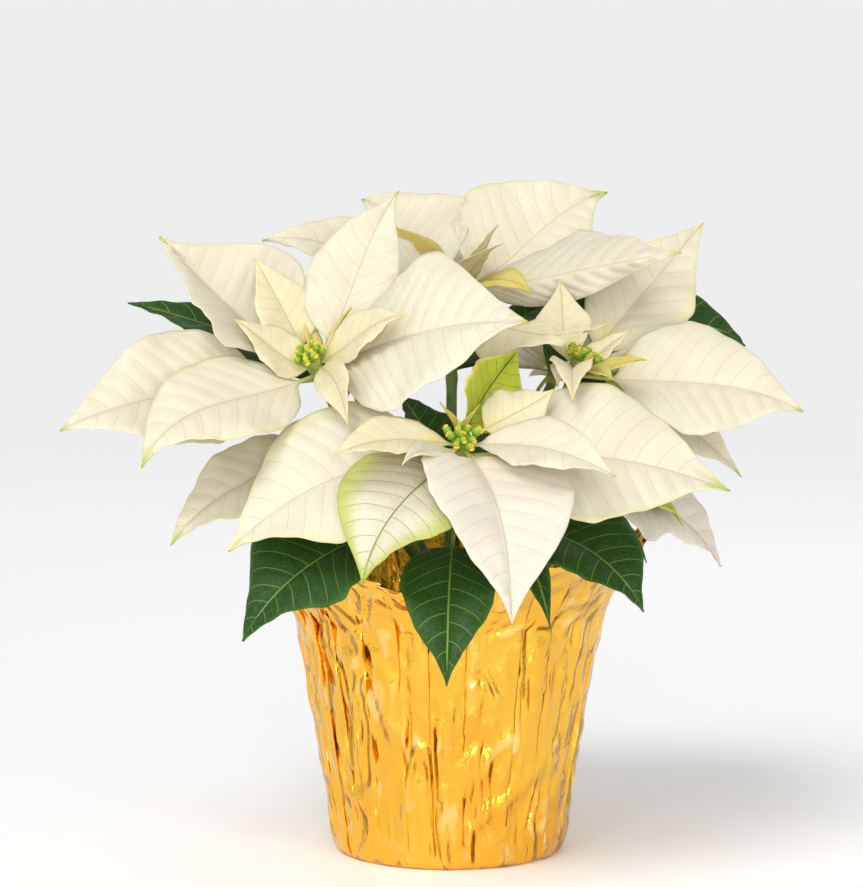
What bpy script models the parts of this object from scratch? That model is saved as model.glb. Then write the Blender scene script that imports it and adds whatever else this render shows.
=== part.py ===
"""White poinsettia growing in a nursery pot, dressed with a pleated gold foil pot cover.

The origin is the middle of the flat underside, +Z is up and the plant's show side faces -Y.
Sizes and places below are in millimetres, and MM turns them into metres where meshes are made.
"""

import math

import bmesh
import bpy
import numpy as np
from mathutils import Matrix, Vector

MM = 0.001
GAP = 0.3  # between any two pieces that touch
SEED = 11

# Foil pot cover: a cone of pleated foil whose top flares into a wavy skirt
FOIL_THICK = 0.8
FOIL_SIDE = ((61, 0), (63.4, 9), (67.4, 40), (73.1, 78), (81.5, 128))  # radius, height
FOIL_CREASE = 128  # height at which the skirt starts to flare
FOIL_SKIRT_STEPS = (0.5, 1.0)  # shares of the skirt's height
FOIL_PLEATS = 26
PLEAT_DEPTH = 2.2
PLEAT_FOOT = 0.25  # share of the depth at the foot
PLEAT_EDGE = 0.4  # share of the depth at the skirt's edge
PLEAT_JITTER = 0.035  # radians
PLEAT_PROFILE = ((0, -0.3), (0.45, 0.35), (0.88, 0.7))  # share of a pleat's width, share of its depth
SKIRT_RADIUS = 102.5
SKIRT_HEIGHT = 162
SKIRT_FLARE = 1.15  # power with which the skirt leans out
SKIRT_WAVES = 6
SKIRT_WAVE = (3.5, 5)  # reach and height of each wave
SKIRT_TILT = (4.5, 7)  # how much higher the edge is to the right and at the back
SKIRT_SCALLOPS = 11
SCALLOP_HEIGHT = 1.6

# Nursery pot, turned, with drainage holes
POT_SIDE = (
    (0, 3.4), (55, 3.4), (71.4, 111.5), (74.9, 114.5), (75.4, 127),
    (77.4, 127), (76.7, 113), (73.3, 110), (57, 1.2), (0, 1.2),
)
POT_STEPS = 32
DRAIN_HOLES = 5
DRAIN_RADIUS = 5
DRAIN_RING = 38
DRAIN_SIDES = 12
DRAIN_SPAN = (-2, 7)  # heights at which a hole's cutter starts and ends

# Growing medium: fills the pot to below its rim
SOIL_SIDE = ((40, 118), (74.5, 116.5), (74.3, 114.9), (70.9, 111.9), (54.6, 3.8), (0, 3.8))
SOIL_TOP = 118.5
SOIL_STEPS = 28

# Woody trunk in its hole, and the green branches that fork from it
TRUNK_FOOT = 62
TRUNK_TOP = 133
TRUNK_RADII = (6.0, 5.6)
TRUNK_SIDES = 12
TRUNK_HOLE = 6.5  # radius of the plain hole that it stands in
FORK_HEIGHT = 145
FORK_SPREAD = 0.12  # share of a head's distance from the axis
STUB_START = 0.3  # share of the fork's distance from the axis
STUB_END = 5  # length of the straight end
STUB_RADIUS = 3.7
BRANCH_RADII = (3.5, 2.7)
BRANCH_LEAN = 0.3  # share of a head's distance from the axis at which a branch's first handle lies
BRANCH_RISE = 35
BRANCH_END = 24
BRANCH_STATIONS = (0, .02, .14, .28, .42, .56, .70, .84, .98, 1)  # short ends, so that the caps are square
STEM_BEVEL = 2
HUB_LENGTH = 20
HUB_RADII = (3.0, 4.8)
HUB_SIDES = 10

# Leaf blades and bracts
EDGE_THICK = 0.7
RIB_THICK = 1.5
PETIOLE_WIDTH = 2.2
LEAST_REACH = 0.35  # half-width at the very tip
LEAST_SPLAY = 80  # degrees between a stem's axis and the petiole that leaves it
MIDRIB_HANDLE = 0.36  # share of the straight line to the tip
LEAST_HANDLE = 13
EDGE_WAVES = 3
EDGE_WAVE_SHIFT = 1.9  # radians between the waves of the left edge and the right one
BLADE_STATIONS = (0, 0.07, 0.21, 0.40, 0.61, 0.81, 1)
SMALL_STATIONS = (0, 0.22, 0.58, 1)
SMALL_WIDTH = 28

# Cyathia: buds on a small disc
BUDS = 9
BUD_RADIUS = 2.4
BUD_HEIGHT = 2.8
BUD_SPREAD = 7.0
BUD_SINK = 0.55  # share of a bud's height at which its middle stands
BUD_LEAN = 34  # degrees, for the outermost buds
DISC_RADII = (4.8, 5.8)
DISC_THICK = 1.6
GOLDEN_ANGLE = 137.508

# Flower heads: the top of each flowering stem and the way it faces
HEADS = {
    "left": ((-73, -30, 268), (-0.35, -0.45, 0.82)),
    "front": ((6, -85, 229), (0.00, -0.70, 0.71)),
    "right": ((70, -20, 267), (0.35, -0.25, 0.90)),
    "top": ((2, 40, 309), (0.00, -0.10, 0.99)),
    "back_left": ((-62, 92, 266), (-0.35, 0.60, 0.75)),
    "back_right": ((66, 88, 262), (0.40, 0.60, 0.73)),
}

# Blade outlines: share of the length, share of the half-width
OUTLINES = {
    "ovate": ((0, .04), (.05, .38), (.14, .72), (.27, .95), (.38, 1),
              (.55, .87), (.72, .55), (.86, .22), (.94, .08), (1, 0)),
    "heart": ((0, .22), (.04, .68), (.12, .92), (.24, 1), (.36, .98),
              (.53, .80), (.72, .47), (.86, .19), (.94, .07), (1, 0)),
    "lance": ((0, .04), (.08, .34), (.22, .75), (.38, 1), (.52, .96),
              (.68, .70), (.84, .33), (.93, .12), (1, 0)),
    "tailed": ((0, .04), (.08, .40), (.22, .80), (.36, 1), (.48, .86),
               (.58, .48), (.70, .22), (.86, .11), (1, 0)),
    "strip": ((0, .04), (.10, .22), (.30, .38), (.50, .36), (.75, .18), (.90, .07), (1, 0)),
    "kite": ((0, .04), (.06, .30), (.20, .66), (.38, .90), (.50, 1),
             (.58, .84), (.72, .50), (.86, .22), (.94, .09), (1, 0)),
    "lobed": ((0, .04), (.06, .40), (.18, .78), (.34, .93), (.46, 1),
              (.52, .74), (.66, .50), (.84, .20), (.94, .07), (1, 0)),
}


def blade(name, tip, width, rise=10, fall=10, roll=0, twist=0, fold=(12, 12), shape=("ovate", "ovate"),
          drop=5, at=None, petiole=.14, sweep=0, wave=1.5):
    """One bract or leaf, from where it leaves its stem to its tip.

    rise and fall are the angles in degrees at which its midrib leaves the straight line to the tip and
    comes down to it, and sweep turns it sideways. roll and twist turn the blade about its midrib, fold
    lifts its left and right halves, and wave is the height of the waves along its edge. A bract is rooted
    drop below the top of its hub, and a leaf at a share of the branch's length. petiole is the bare share.
    """
    if isinstance(shape, str):
        shape = (shape, shape)
    return dict(name=name, tip=tip, width=width, rise=rise, fall=fall, roll=roll, twist=twist, fold=fold,
                shape=shape, drop=drop, at=at, petiole=petiole, sweep=sweep, wave=wave)


BRACTS = {
    "left": (
        blade("long", (-204, -50, 231), 78, rise=36, fall=16, roll=-54, twist=10, fold=(6, 10),
              drop=14, petiole=.22),
        blade("low", (-157, -92, 215), 62, rise=30, fall=42, roll=-50, twist=20, fold=(8, 0),
              drop=10, petiole=.10),
        blade("up", (-156, 0, 332), 88, rise=4, fall=-6, roll=-72, twist=6, fold=(60, 2), drop=8,
              petiole=.20),
        blade("inner_up", (-104, -12, 321), 36, rise=0, fall=0, roll=-58, fold=(10, 10), drop=7,
              petiole=.26),
        blade("twisted", (-27, 8, 357), 52, rise=14, roll=20, twist=40, fold=(10, 10), sweep=6, wave=2.5),
        blade("small", (-114, -35, 289), 30, rise=-4, fall=2, roll=-53, fold=(10, 10), petiole=.06,
              sweep=-2),
        blade("small_right", (-23, -60, 292), 30, rise=20, fall=20, roll=62, fold=(10, 10), petiole=.08),
        blade("wide", (40, -82, 289), 100, rise=14, fall=14, roll=52, fold=(4, 6),
              shape=("kite", "ovate"), drop=8, petiole=.10),
        blade("small_down", (-52, -85, 236), 22, rise=35, fall=30, roll=30, fold=(40, 10),
              shape="lance", petiole=.10),
        blade("tiny_up", (-52, -22, 295), 11, fold=(16, 16), shape="lance", petiole=.10),
        blade("tiny_left", (-78, -9, 291), 11, fold=(16, 16), drop=8, shape="lance", petiole=.10),
    ),
    "front": (
        blade("heart", (30, -150, 143), 82, rise=34, fall=30, roll=8, fold=(4, 28), shape="heart",
              drop=6, petiole=.08, sweep=10),
        blade("veined", (-44, -128, 160), 70, rise=26, fall=34, roll=-20, fold=(10, 10),
              shape=("kite", "ovate"), drop=13, petiole=.12),
        blade("small_left", (-59, -115, 223), 34, rise=30, fall=20, roll=-34, fold=(16, 10),
              shape="lance", petiole=.08),
        blade("small_right", (82, -130, 214), 36, rise=34, fall=16, roll=38, fold=(14, 14),
              shape="lance", petiole=.08),
        blade("left_wide", (-114, -82, 171), 90, rise=26, fall=24, roll=-46, fold=(4, 6), drop=15),
        blade("right_wide", (144, -78, 202), 86, rise=12, fall=14, roll=50, fold=(6, 6), drop=13),
        blade("tucked", (-24, -133, 220), 16, rise=13, fall=33, roll=-28, fold=(8, 8), petiole=.10,
              sweep=3),
        blade("tiny_up", (-5, -80, 248), 9, rise=20, fold=(20, 20), drop=8, shape="lance", petiole=.10),
        blade("tiny_side", (15, -80, 247), 8, rise=20, fold=(20, 20), drop=8, shape="lance", petiole=.10),
        blade("crumpled", (54, -68, 254), 34, rise=12, fall=-9, roll=40, fold=(10, -16), petiole=.26,
              sweep=6, wave=2.5),
        blade("rising", (36, -50, 274), 46, rise=30, fall=10, roll=64, fold=(50, 6), drop=9, petiole=.18),
    ),
    "right": (
        blade("up", (143, 62, 340), 62, rise=12, fall=0, roll=40, fold=(8, 8), shape="kite",
              drop=8, petiole=.20),
        blade("long", (189, -20, 239), 78, rise=18, fall=20, roll=48, fold=(6, 8),
              shape=("ovate", "lance"), drop=9, petiole=.16),
        blade("inner_up", (60, 10, 309), 31, fall=0, fold=(10, 10), shape="kite", drop=7, petiole=.16),
        blade("narrow_down", (57, -35, 253), 11, rise=63, fall=47, roll=6, shape="lance", petiole=.12,
              sweep=-19),
        blade("folded_down", (63, -74, 248), 26, rise=40, fall=40, fold=(30, 30), petiole=.10),
        blade("yellow", (103, -46, 268), 18, rise=20, roll=30, fold=(14, 14), drop=7, petiole=.10),
        blade("under", (98, -6, 282), 20, rise=14, fall=6, roll=20, fold=(14, 14), petiole=.10),
        blade("low_yellow", (85, -54, 258), 14, rise=24, fall=20, roll=20, fold=(14, 14),
              shape="lance", petiole=.10),
        blade("lobed", (144, 4, 226), 48, rise=14, fall=20, roll=40, fold=(6, 6),
              shape=("ovate", "lobed"), drop=14, petiole=.20),
        blade("back", (137, 63, 296), 60, rise=20, fall=22, roll=21, fold=(8, 8), drop=12, petiole=.12,
              sweep=-7),
    ),
    "top": (
        blade("left_up", (-49, 75, 353), 84, rise=24, fall=30, roll=-50, fold=(10, 4), drop=8,
              shape=("ovate", "kite"), petiole=.14),
        blade("right_up", (90, 78, 357), 88, rise=34, fall=20, roll=50, fold=(14, 10), drop=9,
              petiole=.12, wave=2.5),
        blade("right_long", (123, -22, 324), 84, rise=14, fall=2, roll=30, fold=(2, -70),
              shape=("ovate", "strip"), drop=8, petiole=.12),
        blade("left_wide", (-65, 10, 307), 64, rise=8, fall=8, roll=-50, fold=(6, 10), drop=8, petiole=.10),
        blade("low_right", (82, -68, 288), 56, rise=-12, fall=-20, roll=26, fold=(0, -4),
              shape=("strip", "tailed"), drop=15, wave=3),
        blade("left_arched", (-103, 36, 330), 50, rise=60, fall=29, roll=-48, fold=(6, 6), drop=9,
              petiole=.12, sweep=3),
        blade("shaded", (-36, 50, 340), 42, rise=3, fall=5, roll=-51, fold=(8, 8), drop=13, petiole=.20,
              sweep=15),
        blade("back", (14, 128, 322), 66, rise=22, fall=34, fold=(8, 8), petiole=.10),
        blade("back_left", (-58, 104, 312), 56, rise=18, fall=30, roll=-16, fold=(8, 8), drop=11,
              petiole=.10),
        blade("inner_up", (27, 36, 339), 28, rise=2, fall=6, fold=(14, 14), drop=8, petiole=.10),
        blade("inner_right", (29, 0, 329), 22, rise=8, fall=7, roll=4, fold=(14, 14), petiole=.10,
              sweep=-20),
        blade("inner_left", (-15, 24, 318), 9, rise=6, fall=6, fold=(14, 14), drop=8,
              shape="lance", petiole=.10),
        blade("small_low", (44, -14, 302), 20, rise=30, fall=30, roll=30, fold=(8, 8), petiole=.30),
    ),
    "back_left": (
        blade("out", (-156, 120, 236), 66, rise=24, fall=34, roll=-16, fold=(8, 8), drop=9, petiole=.16),
        blade("far", (-96, 184, 250), 62, rise=24, fall=34, fold=(8, 8), drop=7, petiole=.12),
        blade("middle", (-24, 176, 254), 58, rise=24, fall=34, roll=10, fold=(8, 8), drop=10),
        blade("up", (-112, 80, 302), 42, rise=4, fall=6, roll=-10, fold=(10, 10), drop=12, petiole=.22),
        blade("inner", (-28, 110, 288), 28, rise=4, fall=6, drop=9, shape="lance", petiole=.16),
        blade("small", (-90, 136, 268), 26, fall=20, shape="lance", petiole=.08),
        blade("side", (-118, 60, 250), 46, rise=24, fall=30, fold=(8, 8), drop=8, petiole=.12),
    ),
    "back_right": (
        blade("out", (160, 118, 226), 66, rise=24, fall=34, roll=16, fold=(8, 8), drop=9, petiole=.16),
        blade("far", (104, 182, 238), 62, rise=24, fall=34, fold=(8, 8), drop=7, petiole=.12),
        blade("middle", (28, 166, 256), 58, rise=24, fall=34, roll=-10, fold=(8, 8), drop=10),
        blade("up", (122, 90, 288), 42, rise=4, fall=6, roll=10, fold=(10, 10), drop=12, petiole=.22),
        blade("inner", (32, 106, 284), 28, rise=4, fall=6, drop=9, shape="lance", petiole=.16),
        blade("small", (92, 140, 262), 26, fall=20, shape="lance", petiole=.08),
        blade("low", (163, 40, 199), 46, rise=16, fall=22, roll=44, fold=(8, 8), drop=12, sweep=-11),
    ),
}

LEAVES = {
    "left": (
        blade("side", (-176, 25, 296), 52, rise=44, fall=16, roll=-30, fold=(8, 8), at=.76, petiole=.30),
        blade("inner", (-39, 24, 302), 34, rise=20, fall=20, roll=30, fold=(8, 8), at=.84, petiole=.30),
        blade("low", (-96, 10, 190), 54, rise=20, fall=30, roll=-20, fold=(8, 8), at=.46, petiole=.25),
        blade("pale", (-148, -34, 169), 58, rise=16, fall=26, roll=-34, fold=(6, 6), at=.66, petiole=.16),
    ),
    "front": (
        blade("low_middle", (-2, -130, 109), 50, rise=34, fall=32, at=.55, petiole=.25),
        blade("low_left", (-106, -92, 126), 78, rise=26, fall=34, roll=-26, fold=(6, 8),
              shape="kite", at=.48, petiole=.30),
        blade("low_right", (99, -91, 141), 68, rise=47, fall=40, roll=18, fold=(8, 8), at=.44, petiole=.25),
        blade("up_right", (58, -20, 238), 50, fold=(8, 8), at=.72, petiole=.2),
        blade("up_left", (-26, -40, 249), 50, roll=-24, fold=(8, 8), at=.68, petiole=.2),
        blade("low_small", (50, -122, 137), 16, rise=62, fall=40, roll=10, fold=(8, 8),
              shape="lance", at=.50, petiole=.3),
    ),
    "right": (
        blade("side", (169, 81, 270), 66, rise=65, fall=57, roll=63, fold=(8, 8), at=.72, petiole=.30,
              sweep=2),
        blade("narrow", (104, -46, 161), 16, rise=34, fall=40, roll=10, fold=(8, 8), shape="lance",
              at=.48, petiole=.2),
        blade("low", (127, 0, 176), 40, rise=20, fall=40, roll=20, fold=(8, 8), at=.54, petiole=.3),
        blade("pale", (150, 20, 151), 66, rise=20, fall=30, roll=44, fold=(6, 6),
              shape=("ovate", "lobed"), at=.60, petiole=.22),
    ),
    "top": (
        blade("right", (60, 48, 296), 42, roll=20, fold=(8, 8), at=.80, petiole=.2),
        blade("back", (6, 132, 268), 56, rise=20, fall=30, fold=(8, 8), at=.70, petiole=.25),
    ),
    "back_left": (
        blade("out", (-128, 150, 180), 62, rise=20, fall=30, roll=-10, fold=(8, 8), at=.64, petiole=.25),
        blade("far", (-36, 176, 176), 60, rise=20, fall=30, fold=(8, 8), at=.56, petiole=.25),
    ),
    "back_right": (
        blade("out", (122, 152, 172), 62, rise=20, fall=30, roll=10, fold=(8, 8), at=.62, petiole=.25),
        blade("far", (44, 172, 188), 58, rise=20, fall=30, fold=(8, 8), at=.54, petiole=.25),
    ),
}


# Where things are

def unit(v):
    v = np.asarray(v, float)
    return v / np.linalg.norm(v)


def turned(v, axis, degrees):
    """v turned about an axis through the origin."""
    a = np.radians(degrees)
    axis = unit(axis)
    return v * np.cos(a) + np.cross(axis, v) * np.sin(a) + axis * (axis @ v) * (1 - np.cos(a))


def bezier(p0, p1, p2, p3, t):
    """Points and unit tangents of a cubic curve."""
    t = np.asarray(t, float)[:, None]
    s = 1 - t
    points = s**3 * p0 + 3 * s**2 * t * p1 + 3 * s * t**2 * p2 + t**3 * p3
    ways = 3 * s**2 * (p1 - p0) + 6 * s * t * (p2 - p1) + 3 * t**2 * (p3 - p2)
    return points, ways / np.linalg.norm(ways, axis=1)[:, None]


def head(name):
    point, facing = HEADS[name]
    return np.array(point, float), unit(facing)


def branch(name, t):
    """Points and tangents of a head's branch, from the fork to just under its hub."""
    top, facing = head(name)
    foot = np.array((top[0] * FORK_SPREAD, top[1] * FORK_SPREAD, FORK_HEIGHT))
    end = top - facing * (HUB_LENGTH + GAP)
    leaving = foot + np.array((top[0] * BRANCH_LEAN, top[1] * BRANCH_LEAN, BRANCH_RISE))
    return bezier(foot, leaving, end - facing * BRANCH_END, end, t)


def share(outline, t):
    """Half-width share at t, on a smooth curve through the outline's points."""
    xs, ys = np.array(OUTLINES[outline], float).T
    slopes = np.gradient(ys, xs)
    i = min(max(int(np.searchsorted(xs, t, side="right")) - 1, 0), len(xs) - 2)
    h = xs[i + 1] - xs[i]
    s = (t - xs[i]) / h
    start = (2 * s**3 - 3 * s**2 + 1) * ys[i] + (s**3 - 2 * s**2 + s) * h * slopes[i]
    end = (3 * s**2 - 2 * s**3) * ys[i + 1] + (s**3 - s**2) * h * slopes[i + 1]
    return max(0.0, start + end)


def root_of(head_name, b):
    """Where a blade is rooted, and its stem's direction there."""
    if b["at"] is None:
        top, facing = head(head_name)
        return top - facing * b["drop"], facing
    points, ways = branch(head_name, [b["at"]])
    return points[0], ways[0]


def midrib(head_name, b, t):
    """Points and tangents of a blade's midrib, petiole included."""
    root, stem = root_of(head_name, b)
    tip = np.array(b["tip"], float)
    chord = tip - root
    handle = max(np.linalg.norm(chord) * MIDRIB_HANDLE, LEAST_HANDLE)
    across = unit(np.cross(chord, (0, 0, 1)))
    start = turned(turned(unit(chord), across, b["rise"]), (0, 0, 1), b["sweep"])
    end = turned(turned(unit(chord), across, -b["fall"]), (0, 0, 1), -b["sweep"])
    splay = np.degrees(np.arccos(np.clip(start @ stem, -1, 1)))
    if splay < LEAST_SPLAY:
        start = turned(start, np.cross(stem, start), LEAST_SPLAY - splay)
    return bezier(root, root + start * handle, tip - end * handle, tip, t)


def blade_section(b, u, points, ways, normals, sides, turn):
    """Left edge, rib and right edge at share u of the blade, top points then bottom points."""
    normal = normals * np.cos(turn) + sides * np.sin(turn)
    side = sides * np.cos(turn) - normals * np.sin(turn)
    top = []
    low = []
    for half, sign in enumerate((-1, 0, 1)):
        outline = b["shape"][0 if sign < 0 else 1]
        fold = math.radians(b["fold"][0 if sign < 0 else 1])
        reach = max(share(outline, u) * b["width"] / 2, PETIOLE_WIDTH / 2 * (1 - u)) * abs(sign)
        reach = max(reach, LEAST_REACH * abs(sign))
        wave = math.sin(2 * math.pi * EDGE_WAVES * u + EDGE_WAVE_SHIFT * half) * math.sin(math.pi * u)
        ripple = b["wave"] * abs(sign) * wave
        mid = points + side * sign * reach * math.cos(fold) + normal * (reach * math.sin(fold) + ripple)
        thick = RIB_THICK + (EDGE_THICK - RIB_THICK) * abs(sign)
        if sign == 0:
            thick = RIB_THICK - (RIB_THICK - EDGE_THICK) * u
        top.append(mid + normal * EDGE_THICK / 2)
        low.append(mid + normal * (EDGE_THICK / 2 - thick))
    return top, low


def blade_grid(head_name, b):
    """Rings of a blade: for each station, three top points and three bottom points."""
    stations = SMALL_STATIONS if b["width"] < SMALL_WIDTH else BLADE_STATIONS
    bare = b["petiole"]
    shares = [0.0] + [bare + (1 - bare) * u for u in stations]
    points, ways = midrib(head_name, b, shares)
    rings = []
    for i, u in enumerate([None] + list(stations)):
        way = ways[i]
        normal = unit(np.array((0, 0, 1.0)) - way * way[2])
        side = np.cross(way, normal)
        turn = math.radians(b["roll"] + b["twist"] * shares[i])
        if u is None:
            up = normal * np.cos(turn) + side * np.sin(turn)
            out = side * np.cos(turn) - normal * np.sin(turn)
            top = [points[i] + out * s * PETIOLE_WIDTH / 2 + up * PETIOLE_WIDTH / 4 for s in (-1, 0, 1)]
            low = [points[i] + out * s * PETIOLE_WIDTH / 2 - up * PETIOLE_WIDTH / 4 for s in (-1, 0, 1)]
            top[1] = points[i] + up * PETIOLE_WIDTH / 2
            low[1] = points[i] - up * PETIOLE_WIDTH / 2
        else:
            top, low = blade_section(b, u, points[i], way, normal, side, turn)
        rings.append(top + low)
    return np.array(rings)


def blade_faces(rings):
    """Triangles of a closed blade, split alike on its two faces."""
    def at(i, j):
        return i * 6 + j
    faces = []
    for i in range(rings - 1):
        for j in (0, 1):
            a, b, c, d = at(i, j), at(i, j + 1), at(i + 1, j + 1), at(i + 1, j)
            faces += [(a, b, c), (a, c, d)]
            a, b, c, d = a + 3, b + 3, c + 3, d + 3
            faces += [(a, c, b), (a, d, c)]
        faces += [(at(i, 0), at(i + 1, 0), at(i + 1, 3)), (at(i, 0), at(i + 1, 3), at(i, 3))]
        faces += [(at(i, 2), at(i + 1, 5), at(i + 1, 2)), (at(i, 2), at(i, 5), at(i + 1, 5))]
    last = rings - 1
    for j in (0, 1):
        faces += [(at(0, j), at(0, j + 3), at(0, j + 4)), (at(0, j), at(0, j + 4), at(0, j + 1))]
        a, b, c, d = at(last, j), at(last, j + 1), at(last, j + 4), at(last, j + 3)
        faces += [(a, b, c), (a, c, d)]
    return faces


# Blender objects

def clear_scene():
    for obj in list(bpy.data.objects):
        bpy.data.objects.remove(obj, do_unlink=True)


def new_collection(name, hidden=False):
    collection = bpy.data.collections.new(name)
    bpy.context.scene.collection.children.link(collection)
    collection.hide_render = hidden
    return collection


def new_material(name, colour, roughness, metallic=0.0):
    material = bpy.data.materials.new(name)
    material.use_nodes = True
    shader = material.node_tree.nodes["Principled BSDF"]
    shader.inputs["Base Color"].default_value = (*colour, 1)
    shader.inputs["Roughness"].default_value = roughness
    shader.inputs["Metallic"].default_value = metallic
    return material


def new_object(name, points, faces, collection):
    """An object from points in millimetres."""
    mesh = bpy.data.meshes.new(name)
    mesh.from_pydata([tuple(float(c) * MM for c in p) for p in points], [], faces)
    obj = bpy.data.objects.new(name, mesh)
    collection.objects.link(obj)
    return obj


def evaluated_mesh(obj):
    bpy.context.view_layer.update()
    graph = bpy.context.evaluated_depsgraph_get()
    return bpy.data.meshes.new_from_object(obj.evaluated_get(graph))


def turned_object(name, side, steps, collection):
    """A closed turned shape. Its profile runs from the axis over the top and down the outside."""
    mesh = bpy.data.meshes.new(name)
    points = [(r * MM, 0, z * MM) for r, z in side]
    mesh.from_pydata(points, [(i, i + 1) for i in range(len(points) - 1)], [])
    obj = bpy.data.objects.new(name, mesh)
    collection.objects.link(obj)
    screw = obj.modifiers.new("turn", "SCREW")
    screw.steps = steps
    screw.render_steps = steps
    screw.use_merge_vertices = True
    screw.merge_threshold = 0.00001
    screw.use_smooth_shade = False
    return obj


def stem_object(name, points, radii, collection):
    """A round stem along points, as a closed mesh."""
    curve = bpy.data.curves.new(name, "CURVE")
    curve.dimensions = "3D"
    curve.bevel_depth = MM
    curve.bevel_resolution = STEM_BEVEL
    curve.use_fill_caps = True
    spline = curve.splines.new("POLY")
    spline.points.add(len(points) - 1)
    for point, place, radius in zip(spline.points, points, radii):
        point.co = (*(float(c) * MM for c in place), 1)
        point.radius = radius
    guide = bpy.data.objects.new(name + "_guide", curve)
    collection.objects.link(guide)
    mesh = evaluated_mesh(guide)
    bpy.data.objects.remove(guide)
    work = bmesh.new()
    work.from_mesh(mesh)
    bmesh.ops.remove_doubles(work, verts=work.verts, dist=0.00001)
    bmesh.ops.recalc_face_normals(work, faces=work.faces)
    work.to_mesh(mesh)
    work.free()
    obj = bpy.data.objects.new(name, mesh)
    collection.objects.link(obj)
    return obj


def cone_object(name, foot, top, radii, sides, collection):
    """A cone or cylinder between two points."""
    mesh = bpy.data.meshes.new(name)
    work = bmesh.new()
    length = np.linalg.norm(top - foot)
    bmesh.ops.create_cone(work, cap_ends=True, segments=sides, radius1=radii[0] * MM, radius2=radii[1] * MM,
                          depth=length * MM)
    bmesh.ops.recalc_face_normals(work, faces=work.faces)
    work.to_mesh(mesh)
    work.free()
    obj = bpy.data.objects.new(name, mesh)
    obj.matrix_world = placed((foot + top) / 2, top - foot)
    collection.objects.link(obj)
    return obj


def placed(middle, axis):
    """The matrix that stands an object on an axis at a place in millimetres."""
    turn = Vector(tuple(unit(axis))).to_track_quat("Z", "Y").to_matrix().to_4x4()
    return Matrix.Translation(Vector(tuple(middle * MM))) @ turn


def joined(name, pieces, collection, material, solver="MANIFOLD"):
    """One closed object from overlapping pieces, by a Boolean union."""
    base, others = pieces[0], pieces[1:]
    helpers = new_collection(name + "_pieces", hidden=True)
    for piece in others:
        for owner in list(piece.users_collection):
            owner.objects.unlink(piece)
        helpers.objects.link(piece)
    union = base.modifiers.new("join", "BOOLEAN")
    union.operation = "UNION"
    union.operand_type = "COLLECTION"
    union.collection = helpers
    union.solver = solver
    mesh = evaluated_mesh(base)
    mesh.transform(base.matrix_world)
    for piece in pieces:
        bpy.data.objects.remove(piece, do_unlink=True)
    bpy.data.collections.remove(helpers)
    obj = bpy.data.objects.new(name, mesh)
    obj.data.materials.clear()
    obj.data.materials.append(material)
    collection.objects.link(obj)
    return obj


# Foil cover

def skirt_edge(angle):
    """Radius and height of the skirt's wavy edge."""
    wave = math.cos(SKIRT_WAVES * angle)
    tilt = SKIRT_TILT[0] * math.cos(angle) + SKIRT_TILT[1] * math.sin(angle)
    radius = SKIRT_RADIUS + math.cos(angle) + SKIRT_WAVE[0] * wave
    height = SKIRT_HEIGHT + tilt + SKIRT_WAVE[1] * wave + SCALLOP_HEIGHT * math.sin(SKIRT_SCALLOPS * angle)
    return radius, height


def pleat_angles():
    """Where each pleat starts, a little unevenly."""
    draw = np.random.default_rng(SEED)
    even = np.arange(FOIL_PLEATS) * 2 * math.pi / FOIL_PLEATS
    return even + draw.uniform(-PLEAT_JITTER, PLEAT_JITTER, FOIL_PLEATS)


def foil_columns():
    """Angle and radial offset of each column: a pleat lifts slowly and drops back under the next."""
    starts = pleat_angles()
    columns = []
    for i, start in enumerate(starts):
        width = (starts[(i + 1) % FOIL_PLEATS] - start) % (2 * math.pi)
        columns += [(start + across * width, lift) for across, lift in PLEAT_PROFILE]
    return columns


def foil_point(angle, lift, level):
    """A point of the foil's outside. Levels up to 1 climb the side, and those from 1 to 2 the skirt."""
    if level <= 1:
        run = level * (len(FOIL_SIDE) - 1)
        i = min(int(run), len(FOIL_SIDE) - 2)
        (r0, z0), (r1, z1) = FOIL_SIDE[i], FOIL_SIDE[i + 1]
        radius, height = r0 + (r1 - r0) * (run - i), z0 + (z1 - z0) * (run - i)
        depth = PLEAT_DEPTH * (PLEAT_FOOT + (1 - PLEAT_FOOT) * level)
    else:
        edge_radius, edge_height = skirt_edge(angle)
        up = level - 1
        radius = FOIL_SIDE[-1][0] + (edge_radius - FOIL_SIDE[-1][0]) * up**SKIRT_FLARE
        height = FOIL_CREASE + (edge_height - FOIL_CREASE) * up
        depth = PLEAT_DEPTH * (1 - (1 - PLEAT_EDGE) * up)
    reach = radius + lift * depth * (level > 0)
    return reach * math.cos(angle), reach * math.sin(angle), height


def make_foil_cover(parts, material):
    columns = foil_columns()
    side_levels = [i / (len(FOIL_SIDE) - 1) for i in range(len(FOIL_SIDE))]
    levels = side_levels + [1 + s for s in FOIL_SKIRT_STEPS]
    points = [foil_point(a, lift, level) for level in levels for a, lift in columns]
    n = len(columns)
    faces = []
    for i in range(len(levels) - 1):
        for j in range(n):
            k = (j + 1) % n
            faces.append((i * n + j, i * n + k, (i + 1) * n + k, (i + 1) * n + j))
    points.append((0, 0, 0))
    faces += [((j + 1) % n, j, len(points) - 1) for j in range(n)]
    obj = new_object("foil_cover", points, faces, parts)
    obj.data.materials.append(material)
    wall = obj.modifiers.new("wall", "SOLIDIFY")
    wall.thickness = FOIL_THICK * MM
    wall.offset = -1
    wall.use_even_offset = True
    return obj


# Pot and growing medium

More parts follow.
